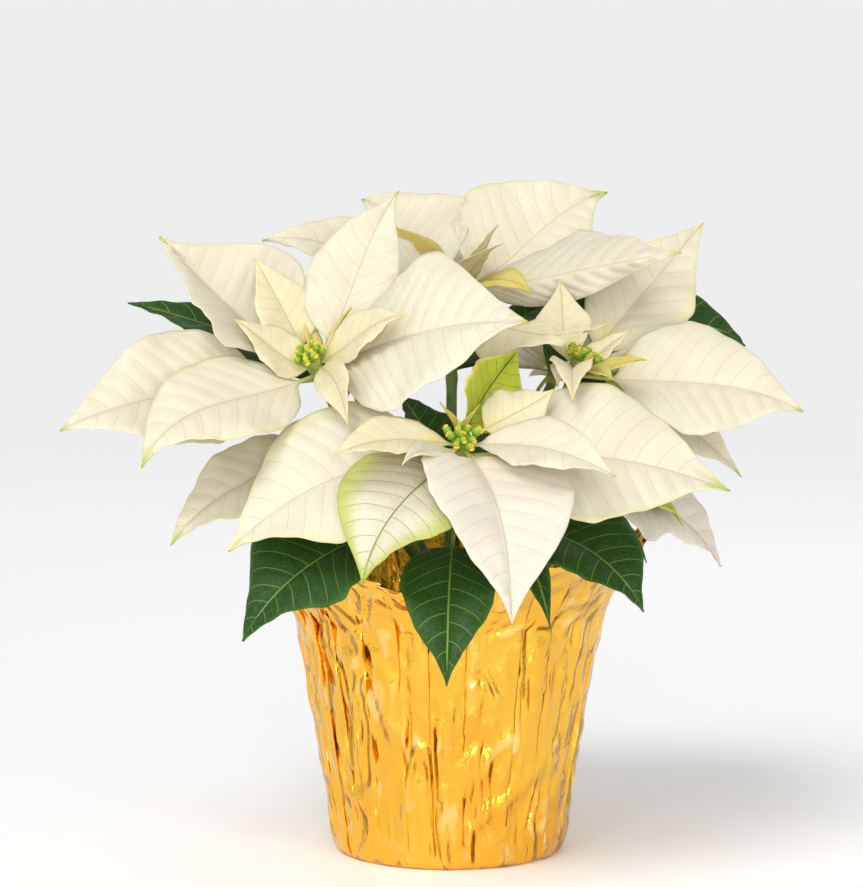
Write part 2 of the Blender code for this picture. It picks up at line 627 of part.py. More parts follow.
def make_nursery_pot(parts, cutters, material):
    obj = turned_object("nursery_pot", POT_SIDE, POT_STEPS, parts)
    obj.data.materials.append(material)
    for i in range(DRAIN_HOLES):
        angle = 2 * math.pi * i / DRAIN_HOLES
        x, y = DRAIN_RING * math.cos(angle), DRAIN_RING * math.sin(angle)
        low, high = (np.array((x, y, z)) for z in DRAIN_SPAN)
        hole = cone_object(f"drain_{i}", low, high, (DRAIN_RADIUS, DRAIN_RADIUS), DRAIN_SIDES, cutters)
        hole.display_type = "WIRE"
        hole.hide_render = True
        cut = obj.modifiers.new(f"drain_{i}", "BOOLEAN")
        cut.operation = "DIFFERENCE"
        cut.object = hole
    return obj


def make_growing_medium(parts, material):
    """The medium, turned with the trunk's plain hole down its middle."""
    hole = ((0, TRUNK_FOOT - GAP), (TRUNK_HOLE, TRUNK_FOOT - GAP), (TRUNK_HOLE, SOIL_TOP))
    obj = turned_object("growing_medium", hole + SOIL_SIDE, SOIL_STEPS, parts)
    obj.data.materials.append(material)
    return obj


# Stems, leaves, bracts and cyathia

def make_trunk(parts, material):
    """The woody stem with a short stub for each branch, whose flat end faces the branch's foot."""
    foot, top = np.array((0, 0, TRUNK_FOOT)), np.array((0, 0, TRUNK_TOP))
    pieces = [cone_object("trunk_stem", foot, top, TRUNK_RADII, TRUNK_SIDES, parts)]
    for name in HEADS:
        ends, ways = branch(name, [0])
        end = ends[0] - ways[0] * GAP
        start = np.array((end[0] * STUB_START, end[1] * STUB_START, TRUNK_TOP - STUB_END))
        route = (start, end - ways[0] * STUB_END, end)
        pieces.append(stem_object("stub_" + name, route, (STUB_RADIUS,) * 3, parts))
    return joined("trunk", pieces, parts, material)


def make_branch(name, parts, material):
    """A green stem from the fork to just under its hub, with its leaves."""
    shares = np.array(BRANCH_STATIONS)
    points, ways = branch(name, shares)
    radii = BRANCH_RADII[0] + (BRANCH_RADII[1] - BRANCH_RADII[0]) * shares
    pieces = [stem_object("stem_" + name, points, radii, parts)]
    pieces += blade_objects(name, LEAVES[name], parts)
    return joined("branch_" + name, pieces, parts, material)


def blade_objects(head_name, blades, parts):
    made = []
    for b in blades:
        grid = blade_grid(head_name, b)
        name = f"{head_name}_{b['name']}"
        made.append(new_object(name, grid.reshape(-1, 3), blade_faces(len(grid)), parts))
    return made


def make_bracts(name, parts, material):
    """A whorl of bracts on the top of the stem that carries them."""
    top, facing = head(name)
    hub = cone_object("hub_" + name, top - facing * HUB_LENGTH, top, HUB_RADII, HUB_SIDES, parts)
    return joined("bracts_" + name, [hub] + blade_objects(name, BRACTS[name], parts), parts, material)


def make_cyathia(name, parts, material):
    """A cluster of buds, spread like seeds on a small disc."""
    top, facing = head(name)
    foot = top + facing * GAP
    pieces = [cone_object("disc_" + name, foot, foot + facing * DISC_THICK, DISC_RADII, HUB_SIDES, parts)]
    stand = placed(foot + facing * DISC_THICK, facing)
    for i in range(BUDS):
        angle = math.radians(GOLDEN_ANGLE * i)
        reach = BUD_SPREAD * math.sqrt(i / (BUDS - 1))
        lean = BUD_LEAN * reach / BUD_SPREAD
        mesh = bpy.data.meshes.new("bud")
        work = bmesh.new()
        bmesh.ops.create_uvsphere(work, u_segments=6, v_segments=3, radius=BUD_RADIUS * MM)
        work.to_mesh(mesh)
        work.free()
        bud = bpy.data.objects.new(f"bud_{name}_{i}", mesh)
        middle = Vector((reach * math.cos(angle), reach * math.sin(angle), BUD_HEIGHT * BUD_SINK))
        tilt = Matrix.Rotation(math.radians(lean), 4, Vector((-math.sin(angle), math.cos(angle), 0)))
        taller = Matrix.Diagonal((1, 1, BUD_HEIGHT / BUD_RADIUS, 1))
        mesh.transform(Matrix.Translation(middle * MM) @ tilt @ taller)
        bud.matrix_world = stand
        parts.objects.link(bud)
        pieces.append(bud)
    return joined("cyathia_" + name, pieces, parts, material)


def build():
    clear_scene()
    parts = new_collection("white_poinsettia")
    cutters = new_collection("cutters", hidden=True)
    gold = new_material("foil_gold", (.83, .47, .06), .28, .9)
    plastic = new_material("pot_plastic", (.05, .035, .03), .5)
    peat = new_material("peat", (.06, .035, .02), .95)
    bark = new_material("bark", (.22, .17, .08), .8)
    green = new_material("leaf_green", (.05, .16, .02), .45)
    cream = new_material("bract_cream", (.84, .78, .62), .5)
    bud_green = new_material("cyathia_green", (.35, .45, .06), .45)
    make_foil_cover(parts, gold)
    make_nursery_pot(parts, cutters, plastic)
    make_growing_medium(parts, peat)
    make_trunk(parts, bark)
    for name in HEADS:
        make_branch(name, parts, green)
        make_bracts(name, parts, cream)
        make_cyathia(name, parts, bud_green)


if __name__ == "__main__":
    build()
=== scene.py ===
"""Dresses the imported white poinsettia: fine bracts and leaves, gold foil, pot, peat, buds and the studio.

The frame's solids stay as they are. Each piece below replaces one of them and keeps its place and size.
Sizes and places are in millimetres, and MM turns them into metres where meshes are made.
"""

import math

import bmesh
import bpy
import numpy as np
from bpy.props import FloatProperty, FloatVectorProperty, IntProperty, PointerProperty
from mathutils import Matrix, Vector


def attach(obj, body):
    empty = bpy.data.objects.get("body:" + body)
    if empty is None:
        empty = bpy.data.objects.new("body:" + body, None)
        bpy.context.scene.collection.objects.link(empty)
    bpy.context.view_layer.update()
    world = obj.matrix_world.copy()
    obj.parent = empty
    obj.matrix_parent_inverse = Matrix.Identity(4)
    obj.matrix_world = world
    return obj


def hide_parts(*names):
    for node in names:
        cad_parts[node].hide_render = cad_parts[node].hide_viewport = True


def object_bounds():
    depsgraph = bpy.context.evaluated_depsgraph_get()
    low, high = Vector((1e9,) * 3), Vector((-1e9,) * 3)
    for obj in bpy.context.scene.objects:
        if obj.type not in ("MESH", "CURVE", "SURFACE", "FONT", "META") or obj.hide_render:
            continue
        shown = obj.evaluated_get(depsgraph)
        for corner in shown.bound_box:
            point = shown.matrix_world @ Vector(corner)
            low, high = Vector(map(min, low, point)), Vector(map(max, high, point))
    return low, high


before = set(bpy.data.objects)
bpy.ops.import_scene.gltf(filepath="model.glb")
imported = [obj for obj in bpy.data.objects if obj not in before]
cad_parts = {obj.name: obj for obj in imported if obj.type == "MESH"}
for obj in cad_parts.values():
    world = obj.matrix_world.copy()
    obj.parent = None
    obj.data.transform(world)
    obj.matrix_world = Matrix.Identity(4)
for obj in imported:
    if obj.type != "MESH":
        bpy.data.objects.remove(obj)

bl_info = {
    "name": "White poinsettia in gold foil",
    "version": (1, 0, 0),
    "blender": (4, 5, 0),
    "location": "3D View > Sidebar > Poinsettia",
    "description": "Builds the visible pieces of a potted white poinsettia around its solid model",
    "category": "Object",
}

CAD_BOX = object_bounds()
MM = 0.001
SEED = 11
TAU = 2 * math.pi

# Foil cover: radius and height of its foot and of the crease where the skirt starts
FOIL_FOOT = 61
FOIL_FOOT_EDGE = (63.4, 9)
FOIL_CREASE = (81.5, 128)
FOIL_BASE_SHARE = 0.22  # share of a level that the flat base takes
FOIL_COLUMNS_PER_PLEAT = 18
FOIL_ROWS = 96
SKIRT_FLARE = 1.15  # power with which the wall leans out

# Nursery pot and growing medium
POT_SIDE = (
    (0, 3.4), (54, 3.4), (55.6, 4.6), (71.4, 111.5), (74.3, 114), (75.1, 115.6), (75.4, 126.2), (75.8, 127),
    (77, 127), (77.4, 126.2), (76.8, 113.8), (76.2, 112.6), (73.9, 110.8), (73.3, 109.6), (57.6, 2.4),
    (56.4, 1.2), (0, 1.2),
)
POT_STEPS = 128
DRAIN_HOLES = 5
DRAIN_RADIUS = 5
DRAIN_RING = 38
DRAIN_HEIGHT = 2.5
DRAIN_DEPTH = 9
SOIL_RADIUS = 74.4
SOIL_SIDE = ((74.4, 115.2), (70.7, 111.9), (54.4, 3.9), (0, 3.9))
SOIL_HEIGHT = 117.4
SOIL_RINGS = 26
SOIL_SEGMENTS = 120

# Trunk and branches
GAP = 0.3
TRUNK_FOOT = 62
TRUNK_TOP = 133
TRUNK_RADIUS = 5.9
TRUNK_HOLE = 6.2
HOLE_TOP = 112.0
FORK_HEIGHT = 145
FORK_SPREAD = 0.12
STUB_RADIUS = 3.7
BRANCH_RADII = (3.5, 2.7)
HUB_LENGTH = 20
HUB_RADII = (3.0, 4.8)

# Bracts and leaves
PETIOLE_RADIUS = 1.1
LEAST_SPLAY = 80
LEAST_HANDLE = 13
LEAST_REACH = 0.2  # half-width at the very tip
STALK_PITCH = 4
BLADE_ROWS = (12, 72)  # fewest and most rings along a blade
HALF_COLUMNS = (4, 20)  # fewest and most columns across half a blade
LARGE_WIDTH = 80  # width of a blade with the full relief
RUFFLED_WIDTH = 48  # width from which a blade's edge has its full waves
VEIN_SLANT = 0.30  # share of the blade that a side vein runs forward by the time it meets the edge

# Cyathia
DISC_RADIUS = 5.0
DISC_THICK = 1.6
BUD_LEAN = 34  # degrees, for the outermost buds
GOLDEN_ANGLE = 137.508

# Flower heads: the top of each flowering stem and the way it faces
HEADS = {
    "left": ((-73, -30, 268), (-0.35, -0.45, 0.82)),
    "front": ((6, -85, 229), (0.00, -0.70, 0.71)),
    "right": ((70, -20, 267), (0.35, -0.25, 0.90)),
    "top": ((2, 40, 309), (0.00, -0.10, 0.99)),
    "back_left": ((-62, 92, 266), (-0.35, 0.60, 0.75)),
    "back_right": ((66, 88, 262), (0.40, 0.60, 0.73)),
}

# Blade outlines: share of the length, share of the half-width
OUTLINES = {
    "ovate": ((0, .04), (.05, .38), (.14, .72), (.27, .95), (.38, 1),
              (.55, .87), (.72, .55), (.86, .22), (.94, .08), (1, 0)),
    "heart": ((0, .22), (.04, .68), (.12, .92), (.24, 1), (.36, .98),
              (.53, .80), (.72, .47), (.86, .19), (.94, .07), (1, 0)),
    "lance": ((0, .04), (.08, .34), (.22, .75), (.38, 1), (.52, .96),
              (.68, .70), (.84, .33), (.93, .12), (1, 0)),
    "tailed": ((0, .04), (.08, .40), (.22, .80), (.36, 1), (.48, .86),
               (.58, .48), (.70, .22), (.86, .11), (1, 0)),
    "strip": ((0, .04), (.10, .22), (.30, .38), (.50, .36), (.75, .18), (.90, .07), (1, 0)),
    "kite": ((0, .04), (.06, .30), (.20, .66), (.38, .90), (.50, 1),
             (.58, .84), (.72, .50), (.86, .22), (.94, .09), (1, 0)),
    "lobed": ((0, .04), (.06, .40), (.18, .78), (.34, .93), (.46, 1),
              (.52, .74), (.66, .50), (.84, .20), (.94, .07), (1, 0)),
}


def blade(name, tip, width, rise=10, fall=10, roll=0, twist=0, fold=(12, 12), shape=("ovate", "ovate"),
          drop=5, at=None, petiole=.14, sweep=0, wave=1.5):
    """One bract or leaf, from where it leaves its stem to its tip.

    rise and fall are the angles in degrees at which its midrib leaves the straight line to the tip and
    comes down to it, and sweep turns it sideways. roll and twist turn the blade about its midrib, fold
    lifts its left and right halves, and wave is the height of the waves along its edge. A bract is rooted
    drop below the top of its hub, and a leaf at a share of the branch's length. petiole is the bare share.
    """
    if isinstance(shape, str):
        shape = (shape, shape)
    return dict(name=name, tip=tip, width=width, rise=rise, fall=fall, roll=roll, twist=twist, fold=fold,
                shape=shape, drop=drop, at=at, petiole=petiole, sweep=sweep, wave=wave)


BRACTS = {
    "left": (
        blade("long", (-204, -50, 231), 78, rise=36, fall=16, roll=-54, twist=10, fold=(6, 10),
              drop=14, petiole=.22),
        blade("low", (-157, -92, 215), 62, rise=30, fall=42, roll=-50, twist=20, fold=(8, 0),
              drop=10, petiole=.10),
        blade("up", (-156, 0, 332), 88, rise=4, fall=-6, roll=-72, twist=6, fold=(60, 2), drop=8,
              petiole=.20),
        blade("inner_up", (-104, -12, 321), 36, rise=0, fall=0, roll=-58, fold=(10, 10), drop=7,
              petiole=.26),
        blade("twisted", (-27, 8, 357), 52, rise=14, roll=20, twist=40, fold=(10, 10), sweep=6, wave=2.5),
        blade("small", (-114, -35, 289), 30, rise=-4, fall=2, roll=-53, fold=(10, 10), petiole=.06,
              sweep=-2),
        blade("small_right", (-23, -60, 292), 30, rise=20, fall=20, roll=62, fold=(10, 10), petiole=.08),
        blade("wide", (40, -82, 289), 100, rise=14, fall=14, roll=52, fold=(4, 6),
              shape=("kite", "ovate"), drop=8, petiole=.10),
        blade("small_down", (-52, -85, 236), 22, rise=35, fall=30, roll=30, fold=(40, 10),
              shape="lance", petiole=.10),
        blade("tiny_up", (-52, -22, 295), 11, fold=(16, 16), shape="lance", petiole=.10),
        blade("tiny_left", (-78, -9, 291), 11, fold=(16, 16), drop=8, shape="lance", petiole=.10),
    ),
    "front": (
        blade("heart", (30, -150, 143), 82, rise=34, fall=30, roll=8, fold=(4, 28), shape="heart",
              drop=6, petiole=.08, sweep=10),
        blade("veined", (-44, -128, 160), 70, rise=26, fall=34, roll=-20, fold=(10, 10),
              shape=("kite", "ovate"), drop=13, petiole=.12),
        blade("small_left", (-59, -115, 223), 34, rise=30, fall=20, roll=-34, fold=(16, 10),
              shape="lance", petiole=.08),
        blade("small_right", (82, -130, 214), 36, rise=34, fall=16, roll=38, fold=(14, 14),
              shape="lance", petiole=.08),
        blade("left_wide", (-114, -82, 171), 90, rise=26, fall=24, roll=-46, fold=(4, 6), drop=15),
        blade("right_wide", (144, -78, 202), 86, rise=12, fall=14, roll=50, fold=(6, 6), drop=13),
        blade("tucked", (-24, -133, 220), 16, rise=13, fall=33, roll=-28, fold=(8, 8), petiole=.10,
              sweep=3),
        blade("tiny_up", (-5, -80, 248), 9, rise=20, fold=(20, 20), drop=8, shape="lance", petiole=.10),
        blade("tiny_side", (15, -80, 247), 8, rise=20, fold=(20, 20), drop=8, shape="lance", petiole=.10),
        blade("crumpled", (54, -68, 254), 34, rise=12, fall=-9, roll=40, fold=(10, -16), petiole=.26,
              sweep=6, wave=2.5),
        blade("rising", (36, -50, 274), 46, rise=30, fall=10, roll=64, fold=(50, 6), drop=9, petiole=.18),
    ),
    "right": (
        blade("up", (143, 62, 340), 62, rise=12, fall=0, roll=40, fold=(8, 8), shape="kite",
              drop=8, petiole=.20),
        blade("long", (189, -20, 239), 78, rise=18, fall=20, roll=48, fold=(6, 8),
              shape=("ovate", "lance"), drop=9, petiole=.16),
        blade("inner_up", (60, 10, 309), 31, fall=0, fold=(10, 10), shape="kite", drop=7, petiole=.16),
        blade("narrow_down", (57, -35, 253), 11, rise=63, fall=47, roll=6, shape="lance", petiole=.12,
              sweep=-19),
        blade("folded_down", (63, -74, 248), 26, rise=40, fall=40, fold=(30, 30), petiole=.10),
        blade("yellow", (103, -46, 268), 18, rise=20, roll=30, fold=(14, 14), drop=7, petiole=.10),
        blade("under", (98, -6, 282), 20, rise=14, fall=6, roll=20, fold=(14, 14), petiole=.10),
        blade("low_yellow", (85, -54, 258), 14, rise=24, fall=20, roll=20, fold=(14, 14),
              shape="lance", petiole=.10),
        blade("lobed", (144, 4, 226), 48, rise=14, fall=20, roll=40, fold=(6, 6),
              shape=("ovate", "lobed"), drop=14, petiole=.20),
        blade("back", (137, 63, 296), 60, rise=20, fall=22, roll=21, fold=(8, 8), drop=12, petiole=.12,
              sweep=-7),
    ),
    "top": (
        blade("left_up", (-49, 75, 353), 84, rise=24, fall=30, roll=-50, fold=(10, 4), drop=8,
              shape=("ovate", "kite"), petiole=.14),
        blade("right_up", (90, 78, 357), 88, rise=34, fall=20, roll=50, fold=(14, 10), drop=9,
              petiole=.12, wave=2.5),
        blade("right_long", (123, -22, 324), 84, rise=14, fall=2, roll=30, fold=(2, -70),
              shape=("ovate", "strip"), drop=8, petiole=.12),
        blade("left_wide", (-65, 10, 307), 64, rise=8, fall=8, roll=-50, fold=(6, 10), drop=8, petiole=.10),
        blade("low_right", (82, -68, 288), 56, rise=-12, fall=-20, roll=26, fold=(0, -4),
              shape=("strip", "tailed"), drop=15, wave=3),
        blade("left_arched", (-103, 36, 330), 50, rise=60, fall=29, roll=-48, fold=(6, 6), drop=9,
              petiole=.12, sweep=3),
        blade("shaded", (-36, 50, 340), 42, rise=3, fall=5, roll=-51, fold=(8, 8), drop=13, petiole=.20,
              sweep=15),
        blade("back", (14, 128, 322), 66, rise=22, fall=34, fold=(8, 8), petiole=.10),
        blade("back_left", (-58, 104, 312), 56, rise=18, fall=30, roll=-16, fold=(8, 8), drop=11,
              petiole=.10),
        blade("inner_up", (27, 36, 339), 28, rise=2, fall=6, fold=(14, 14), drop=8, petiole=.10),
        blade("inner_right", (29, 0, 329), 22, rise=8, fall=7, roll=4, fold=(14, 14), petiole=.10,
              sweep=-20),
        blade("inner_left", (-15, 24, 318), 9, rise=6, fall=6, fold=(14, 14), drop=8,
              shape="lance", petiole=.10),
        blade("small_low", (44, -14, 302), 20, rise=30, fall=30, roll=30, fold=(8, 8), petiole=.30),
    ),
    "back_left": (
        blade("out", (-156, 120, 236), 66, rise=24, fall=34, roll=-16, fold=(8, 8), drop=9, petiole=.16),
        blade("far", (-96, 184, 250), 62, rise=24, fall=34, fold=(8, 8), drop=7, petiole=.12),
        blade("middle", (-24, 176, 254), 58, rise=24, fall=34, roll=10, fold=(8, 8), drop=10),
        blade("up", (-112, 80, 302), 42, rise=4, fall=6, roll=-10, fold=(10, 10), drop=12, petiole=.22),
        blade("inner", (-28, 110, 288), 28, rise=4, fall=6, drop=9, shape="lance", petiole=.16),
        blade("small", (-90, 136, 268), 26, fall=20, shape="lance", petiole=.08),
        blade("side", (-118, 60, 250), 46, rise=24, fall=30, fold=(8, 8), drop=8, petiole=.12),
    ),
    "back_right": (
        blade("out", (160, 118, 226), 66, rise=24, fall=34, roll=16, fold=(8, 8), drop=9, petiole=.16),
        blade("far", (104, 182, 238), 62, rise=24, fall=34, fold=(8, 8), drop=7, petiole=.12),
        blade("middle", (28, 166, 256), 58, rise=24, fall=34, roll=-10, fold=(8, 8), drop=10),
        blade("up", (122, 90, 288), 42, rise=4, fall=6, roll=10, fold=(10, 10), drop=12, petiole=.22),
        blade("inner", (32, 106, 284), 28, rise=4, fall=6, drop=9, shape="lance", petiole=.16),
        blade("small", (92, 140, 262), 26, fall=20, shape="lance", petiole=.08),
        blade("low", (163, 40, 199), 46, rise=16, fall=22, roll=44, fold=(8, 8), drop=12, sweep=-11),
    ),
}

LEAVES = {
    "left": (
        blade("side", (-176, 25, 296), 52, rise=44, fall=16, roll=-30, fold=(8, 8), at=.76, petiole=.30),
        blade("inner", (-39, 24, 302), 34, rise=20, fall=20, roll=30, fold=(8, 8), at=.84, petiole=.30),
        blade("low", (-96, 10, 190), 54, rise=20, fall=30, roll=-20, fold=(8, 8), at=.46, petiole=.25),
        blade("pale", (-148, -34, 169), 58, rise=16, fall=26, roll=-34, fold=(6, 6), at=.66, petiole=.16),
    ),
    "front": (
        blade("low_middle", (-2, -130, 109), 50, rise=34, fall=32, at=.55, petiole=.25),
        blade("low_left", (-106, -92, 126), 78, rise=26, fall=34, roll=-26, fold=(6, 8),
              shape="kite", at=.48, petiole=.30),
        blade("low_right", (99, -91, 141), 68, rise=47, fall=40, roll=18, fold=(8, 8), at=.44, petiole=.25),
        blade("up_right", (58, -20, 238), 50, fold=(8, 8), at=.72, petiole=.2),
        blade("up_left", (-26, -40, 249), 50, roll=-24, fold=(8, 8), at=.68, petiole=.2),
        blade("low_small", (50, -122, 137), 16, rise=62, fall=40, roll=10, fold=(8, 8),
              shape="lance", at=.50, petiole=.3),
    ),
    "right": (
        blade("side", (169, 81, 270), 66, rise=65, fall=57, roll=63, fold=(8, 8), at=.72, petiole=.30,
              sweep=2),
        blade("narrow", (104, -46, 161), 16, rise=34, fall=40, roll=10, fold=(8, 8), shape="lance",
              at=.48, petiole=.2),
        blade("low", (127, 0, 176), 40, rise=20, fall=40, roll=20, fold=(8, 8), at=.54, petiole=.3),
        blade("pale", (150, 20, 151), 66, rise=20, fall=30, roll=44, fold=(6, 6),
              shape=("ovate", "lobed"), at=.60, petiole=.22),
    ),
    "top": (
        blade("right", (60, 48, 296), 42, roll=20, fold=(8, 8), at=.80, petiole=.2),
        blade("back", (6, 132, 268), 56, rise=20, fall=30, fold=(8, 8), at=.70, petiole=.25),
    ),
    "back_left": (
        blade("out", (-128, 150, 180), 62, rise=20, fall=30, roll=-10, fold=(8, 8), at=.64, petiole=.25),
        blade("far", (-36, 176, 176), 60, rise=20, fall=30, fold=(8, 8), at=.56, petiole=.25),
    ),
    "back_right": (
        blade("out", (122, 152, 172), 62, rise=20, fall=30, roll=10, fold=(8, 8), at=.62, petiole=.25),
        blade("far", (44, 172, 188), 58, rise=20, fall=30, fold=(8, 8), at=.54, petiole=.25),
    ),
}


# What each blade looks like, where it is not a plain cream bract or a green leaf
BLADES_BY_LOOK = {
    "tipped": "left_low left_pale front_right_wide top_right_up",
    "ivory": (
        "left_inner_up left_small left_small_right left_small_down front_small_left front_crumpled "
        "right_inner_up right_narrow_down right_folded_down right_under top_low_right "
        "back_left_small back_left_inner back_right_inner back_right_small"
    ),
    "yellow": (
        "left_tiny_up left_tiny_left front_tiny_up front_tiny_side right_yellow right_low_yellow "
        "top_inner_left"
    ),
    "white": "front_heart right_pale",
    "veined": "front_veined",
    "lemon": "front_left_wide front_tucked right_up top_inner_up top_inner_right",
    "lime": "right_lobed",
    "young": "right_low front_rising",
    # The bract that lies in shade is painted all over in the painted shade colour
    "shade_olive": "top_shaded",
    "golden": "top_small_low",
}
LOOKS = {name: look for look, names in BLADES_BY_LOOK.items() for name in names.split()}

# Colours of each look: face, base, edge, tip, underside, vein, and how strongly the veins show. The underside
# colours of the bracts are painted shade; the underside of the leaves is their own paler green.
LOOK_COLOURS = {
    "cream": ("cream", "ivory", "cream", "lime", "shade", "tan", .42, .86, .93),
    "white": ("white", "ivory", "white", "ivory", "shade", "tan", .50, .86, .93),
    "ivory": ("ivory", "yellow", "ivory", "yellow", "shade_olive", "tan", .55, .80, .90),
    "lemon": ("cream", "yellow", "lemon", "lemon", "shade_olive", "tan", .45, .70, .88),
    "tipped": ("cream", "ivory", "lemon", "lime", "shade", "tan", .45, .84, .86),
    "yellow": ("yellow", "lime", "yellow", "lime", "shade_olive", "lime", .60, .80, .80),
    "lime": ("lemon", "lime", "lime", "lime", "shade_olive", "lime", .60, .60, .80),
    "shade_olive": ("shade_olive", "shade_olive", "lemon", "lime", "shade_olive", "tan", .50, .80, .90),
    "golden": ("yellow", "shade_olive", "shade_olive", "lime", "shade_olive", "shade_olive", .80, .60, .80),
    "veined": ("cream", "ivory", "lime", "lime", "shade_olive", "vein_green", .95, .42, .80),
    "young": ("lime", "lime", "yellow", "lime", "lime", "leaf_green", .90, .80, .90),
    "leaf": ("leaf_green", "leaf_green", "leaf_rim", "leaf_rim", "leaf_under", "leaf_vein", .85, .88, .94),
}


# Where things are

def unit(v):
    v = np.asarray(v, float)
    return v / np.linalg.norm(v)


def units(rows):
    return rows / np.linalg.norm(rows, axis=-1, keepdims=True)


def turned(v, axis, degrees):
    """v turned about an axis through the origin."""
    a = np.radians(degrees)
    axis = unit(axis)
    return v * np.cos(a) + np.cross(axis, v) * np.sin(a) + axis * (axis @ v) * (1 - np.cos(a))


def bezier(p0, p1, p2, p3, t):
    """Points and unit tangents of a cubic curve."""
    t = np.asarray(t, float)[:, None]
    s = 1 - t
    points = s**3 * p0 + 3 * s**2 * t * p1 + 3 * s * t**2 * p2 + t**3 * p3
    ways = 3 * s**2 * (p1 - p0) + 6 * s * t * (p2 - p1) + 3 * t**2 * (p3 - p2)
    return points, units(ways)


def head(name):
    point, facing = HEADS[name]
    return np.array(point, float), unit(facing)


def branch(name, t):
    """Points and tangents of a head's branch, from the fork to just under its hub."""
    top, facing = head(name)
    foot = np.array((top[0] * FORK_SPREAD, top[1] * FORK_SPREAD, FORK_HEIGHT))
    end = top - facing * (HUB_LENGTH + GAP)
    leaving = foot + np.array((top[0] * .3, top[1] * .3, 35))
    return bezier(foot, leaving, end - facing * 24, end, t)


def smooth(low, high, x):
    """A soft step from 0 at low to 1 at high."""
    s = np.clip((x - low) / (high - low), 0, 1)
    return s * s * (3 - 2 * s)


def share(outline, t):
    """Half-width shares at t, on a smooth curve through the outline's points."""
    xs, ys = np.array(OUTLINES[outline], float).T
    slopes = np.gradient(ys, xs)
    i = np.clip(np.searchsorted(xs, t, side="right") - 1, 0, len(xs) - 2)
    h = xs[i + 1] - xs[i]
    s = (t - xs[i]) / h
    start = (2 * s**3 - 3 * s**2 + 1) * ys[i] + (s**3 - 2 * s**2 + s) * h * slopes[i]
    end = (3 * s**2 - 2 * s**3) * ys[i + 1] + (s**3 - s**2) * h * slopes[i + 1]
    return np.maximum(0, start + end)


def midrib(head_name, b, t):
    """Points and tangents of a blade's midrib, petiole included."""
    if b["at"] is None:
        top, stem = head(head_name)
        root = top - stem * b["drop"]
    else:
        points, ways = branch(head_name, [b["at"]])
        root, stem = points[0], ways[0]
    tip = np.array(b["tip"], float)
    chord = tip - root
    handle = max(np.linalg.norm(chord) * .36, LEAST_HANDLE)
    across = unit(np.cross(chord, (0, 0, 1)))
    start = turned(turned(unit(chord), across, b["rise"]), (0, 0, 1), b["sweep"])
    end = turned(turned(unit(chord), across, -b["fall"]), (0, 0, 1), -b["sweep"])
    splay = np.degrees(np.arccos(np.clip(start @ stem, -1, 1)))
    if splay < LEAST_SPLAY:
        start = turned(start, np.cross(stem, start), LEAST_SPLAY - splay)
    return bezier(root, root + start * handle, tip - end * handle, tip, t)


# Meshes from rings and patches

class Skin:
    """Meshes gathered into one, with the colours and vein lines that its materials read."""

    def __init__(self):
        self.points, self.faces, self.slots = [], [], []
        self.face_colours, self.vein_colours = [], []
        self.vein_phases, self.rib_distances, self.maps = [], [], []
        self.count = 0

    def add(self, points, faces, slot=0, face_colour=None, vein_colour=None, phase=None, rib=None, uv=None):
        n = len(points)
        self.points.append(points)
        self.faces += [tuple(i + self.count for i in f) for f in faces]
        self.slots += [slot] * len(faces)
        self.face_colours.append(np.ones((n, 4)) if face_colour is None else face_colour)
        self.vein_colours.append(np.zeros((n, 4)) if vein_colour is None else vein_colour)
        self.vein_phases.append(np.zeros(n) if phase is None else phase)
        self.rib_distances.append(np.full(n, 9.0) if rib is None else rib)
        self.maps.append(np.zeros((n, 2)) if uv is None else uv)
        self.count += n

    def made(self, name, materials):
        """The gathered object, kept inside the solid model's box."""
        points = np.concatenate(self.points) * MM
        points = np.clip(points, np.array(CAD_BOX[0]), np.array(CAD_BOX[1]))
        mesh = bpy.data.meshes.new(name)
        mesh.from_pydata(points.tolist(), [], self.faces)
        mesh.polygons.foreach_set("material_index", self.slots)
        mesh.polygons.foreach_set("use_smooth", [True] * len(self.faces))
        for title, kind, field, rows in (
            ("face_colour", "FLOAT_COLOR", "color", self.face_colours),
            ("vein_colour", "FLOAT_COLOR", "color", self.vein_colours),
            ("vein_phase", "FLOAT", "value", self.vein_phases),
            ("rib_distance", "FLOAT", "value", self.rib_distances),
        ):
            layer = mesh.attributes.new(title, kind, "POINT")
            layer.data.foreach_set(field, np.concatenate(rows).astype(np.float32).ravel())
        corners = np.zeros(len(mesh.loops), int)
        mesh.loops.foreach_get("vertex_index", corners)
        layer = mesh.uv_layers.new(name="blade")
        layer.data.foreach_set("uv", np.concatenate(self.maps)[corners].astype(np.float32).ravel())
        for material in materials:
            mesh.materials.append(material)
        return linked(name, mesh)


def linked(name, mesh):
    obj = bpy.data.objects.new(name, mesh)
    bpy.context.scene.collection.objects.link(obj)
    return obj


def ring_faces(rings, around):
    """Faces of a tube of rings with closed ends. Rings run anticlockwise seen from the far end."""
    i, j = np.meshgrid(np.arange(rings - 1), np.arange(around), indexing="ij")
    k = (j + 1) % around
    quads = np.stack([i * around + j, i * around + k, (i + 1) * around + k, (i + 1) * around + j], -1)
    ends = [tuple(range(around))[::-1], tuple(range((rings - 1) * around, rings * around))]
    return [tuple(q) for q in quads.reshape(-1, 4).tolist()] + ends


def swept(points, ways, radii, around):
    """Points of a round stem along a path. radii has one row for each ring, of one or many radii."""
    side = unit(np.cross(ways[0], (0.31, 0.95, 0.02)))
    angles = np.arange(around) * TAU / around
    rings = []
    for point, way, radius in zip(points, ways, radii):
        side = unit(side - way * (way @ side))
        up = np.cross(way, side)
        circle = np.outer(np.cos(angles), side) + np.outer(np.sin(angles), up)
        rings.append(point + circle * np.reshape(radius, (-1, 1)))
    return np.concatenate(rings)


def path_of(points):
    """Tangents along a run of points."""
    return units(np.gradient(np.asarray(points, float), axis=0))


# Bracts and leaves

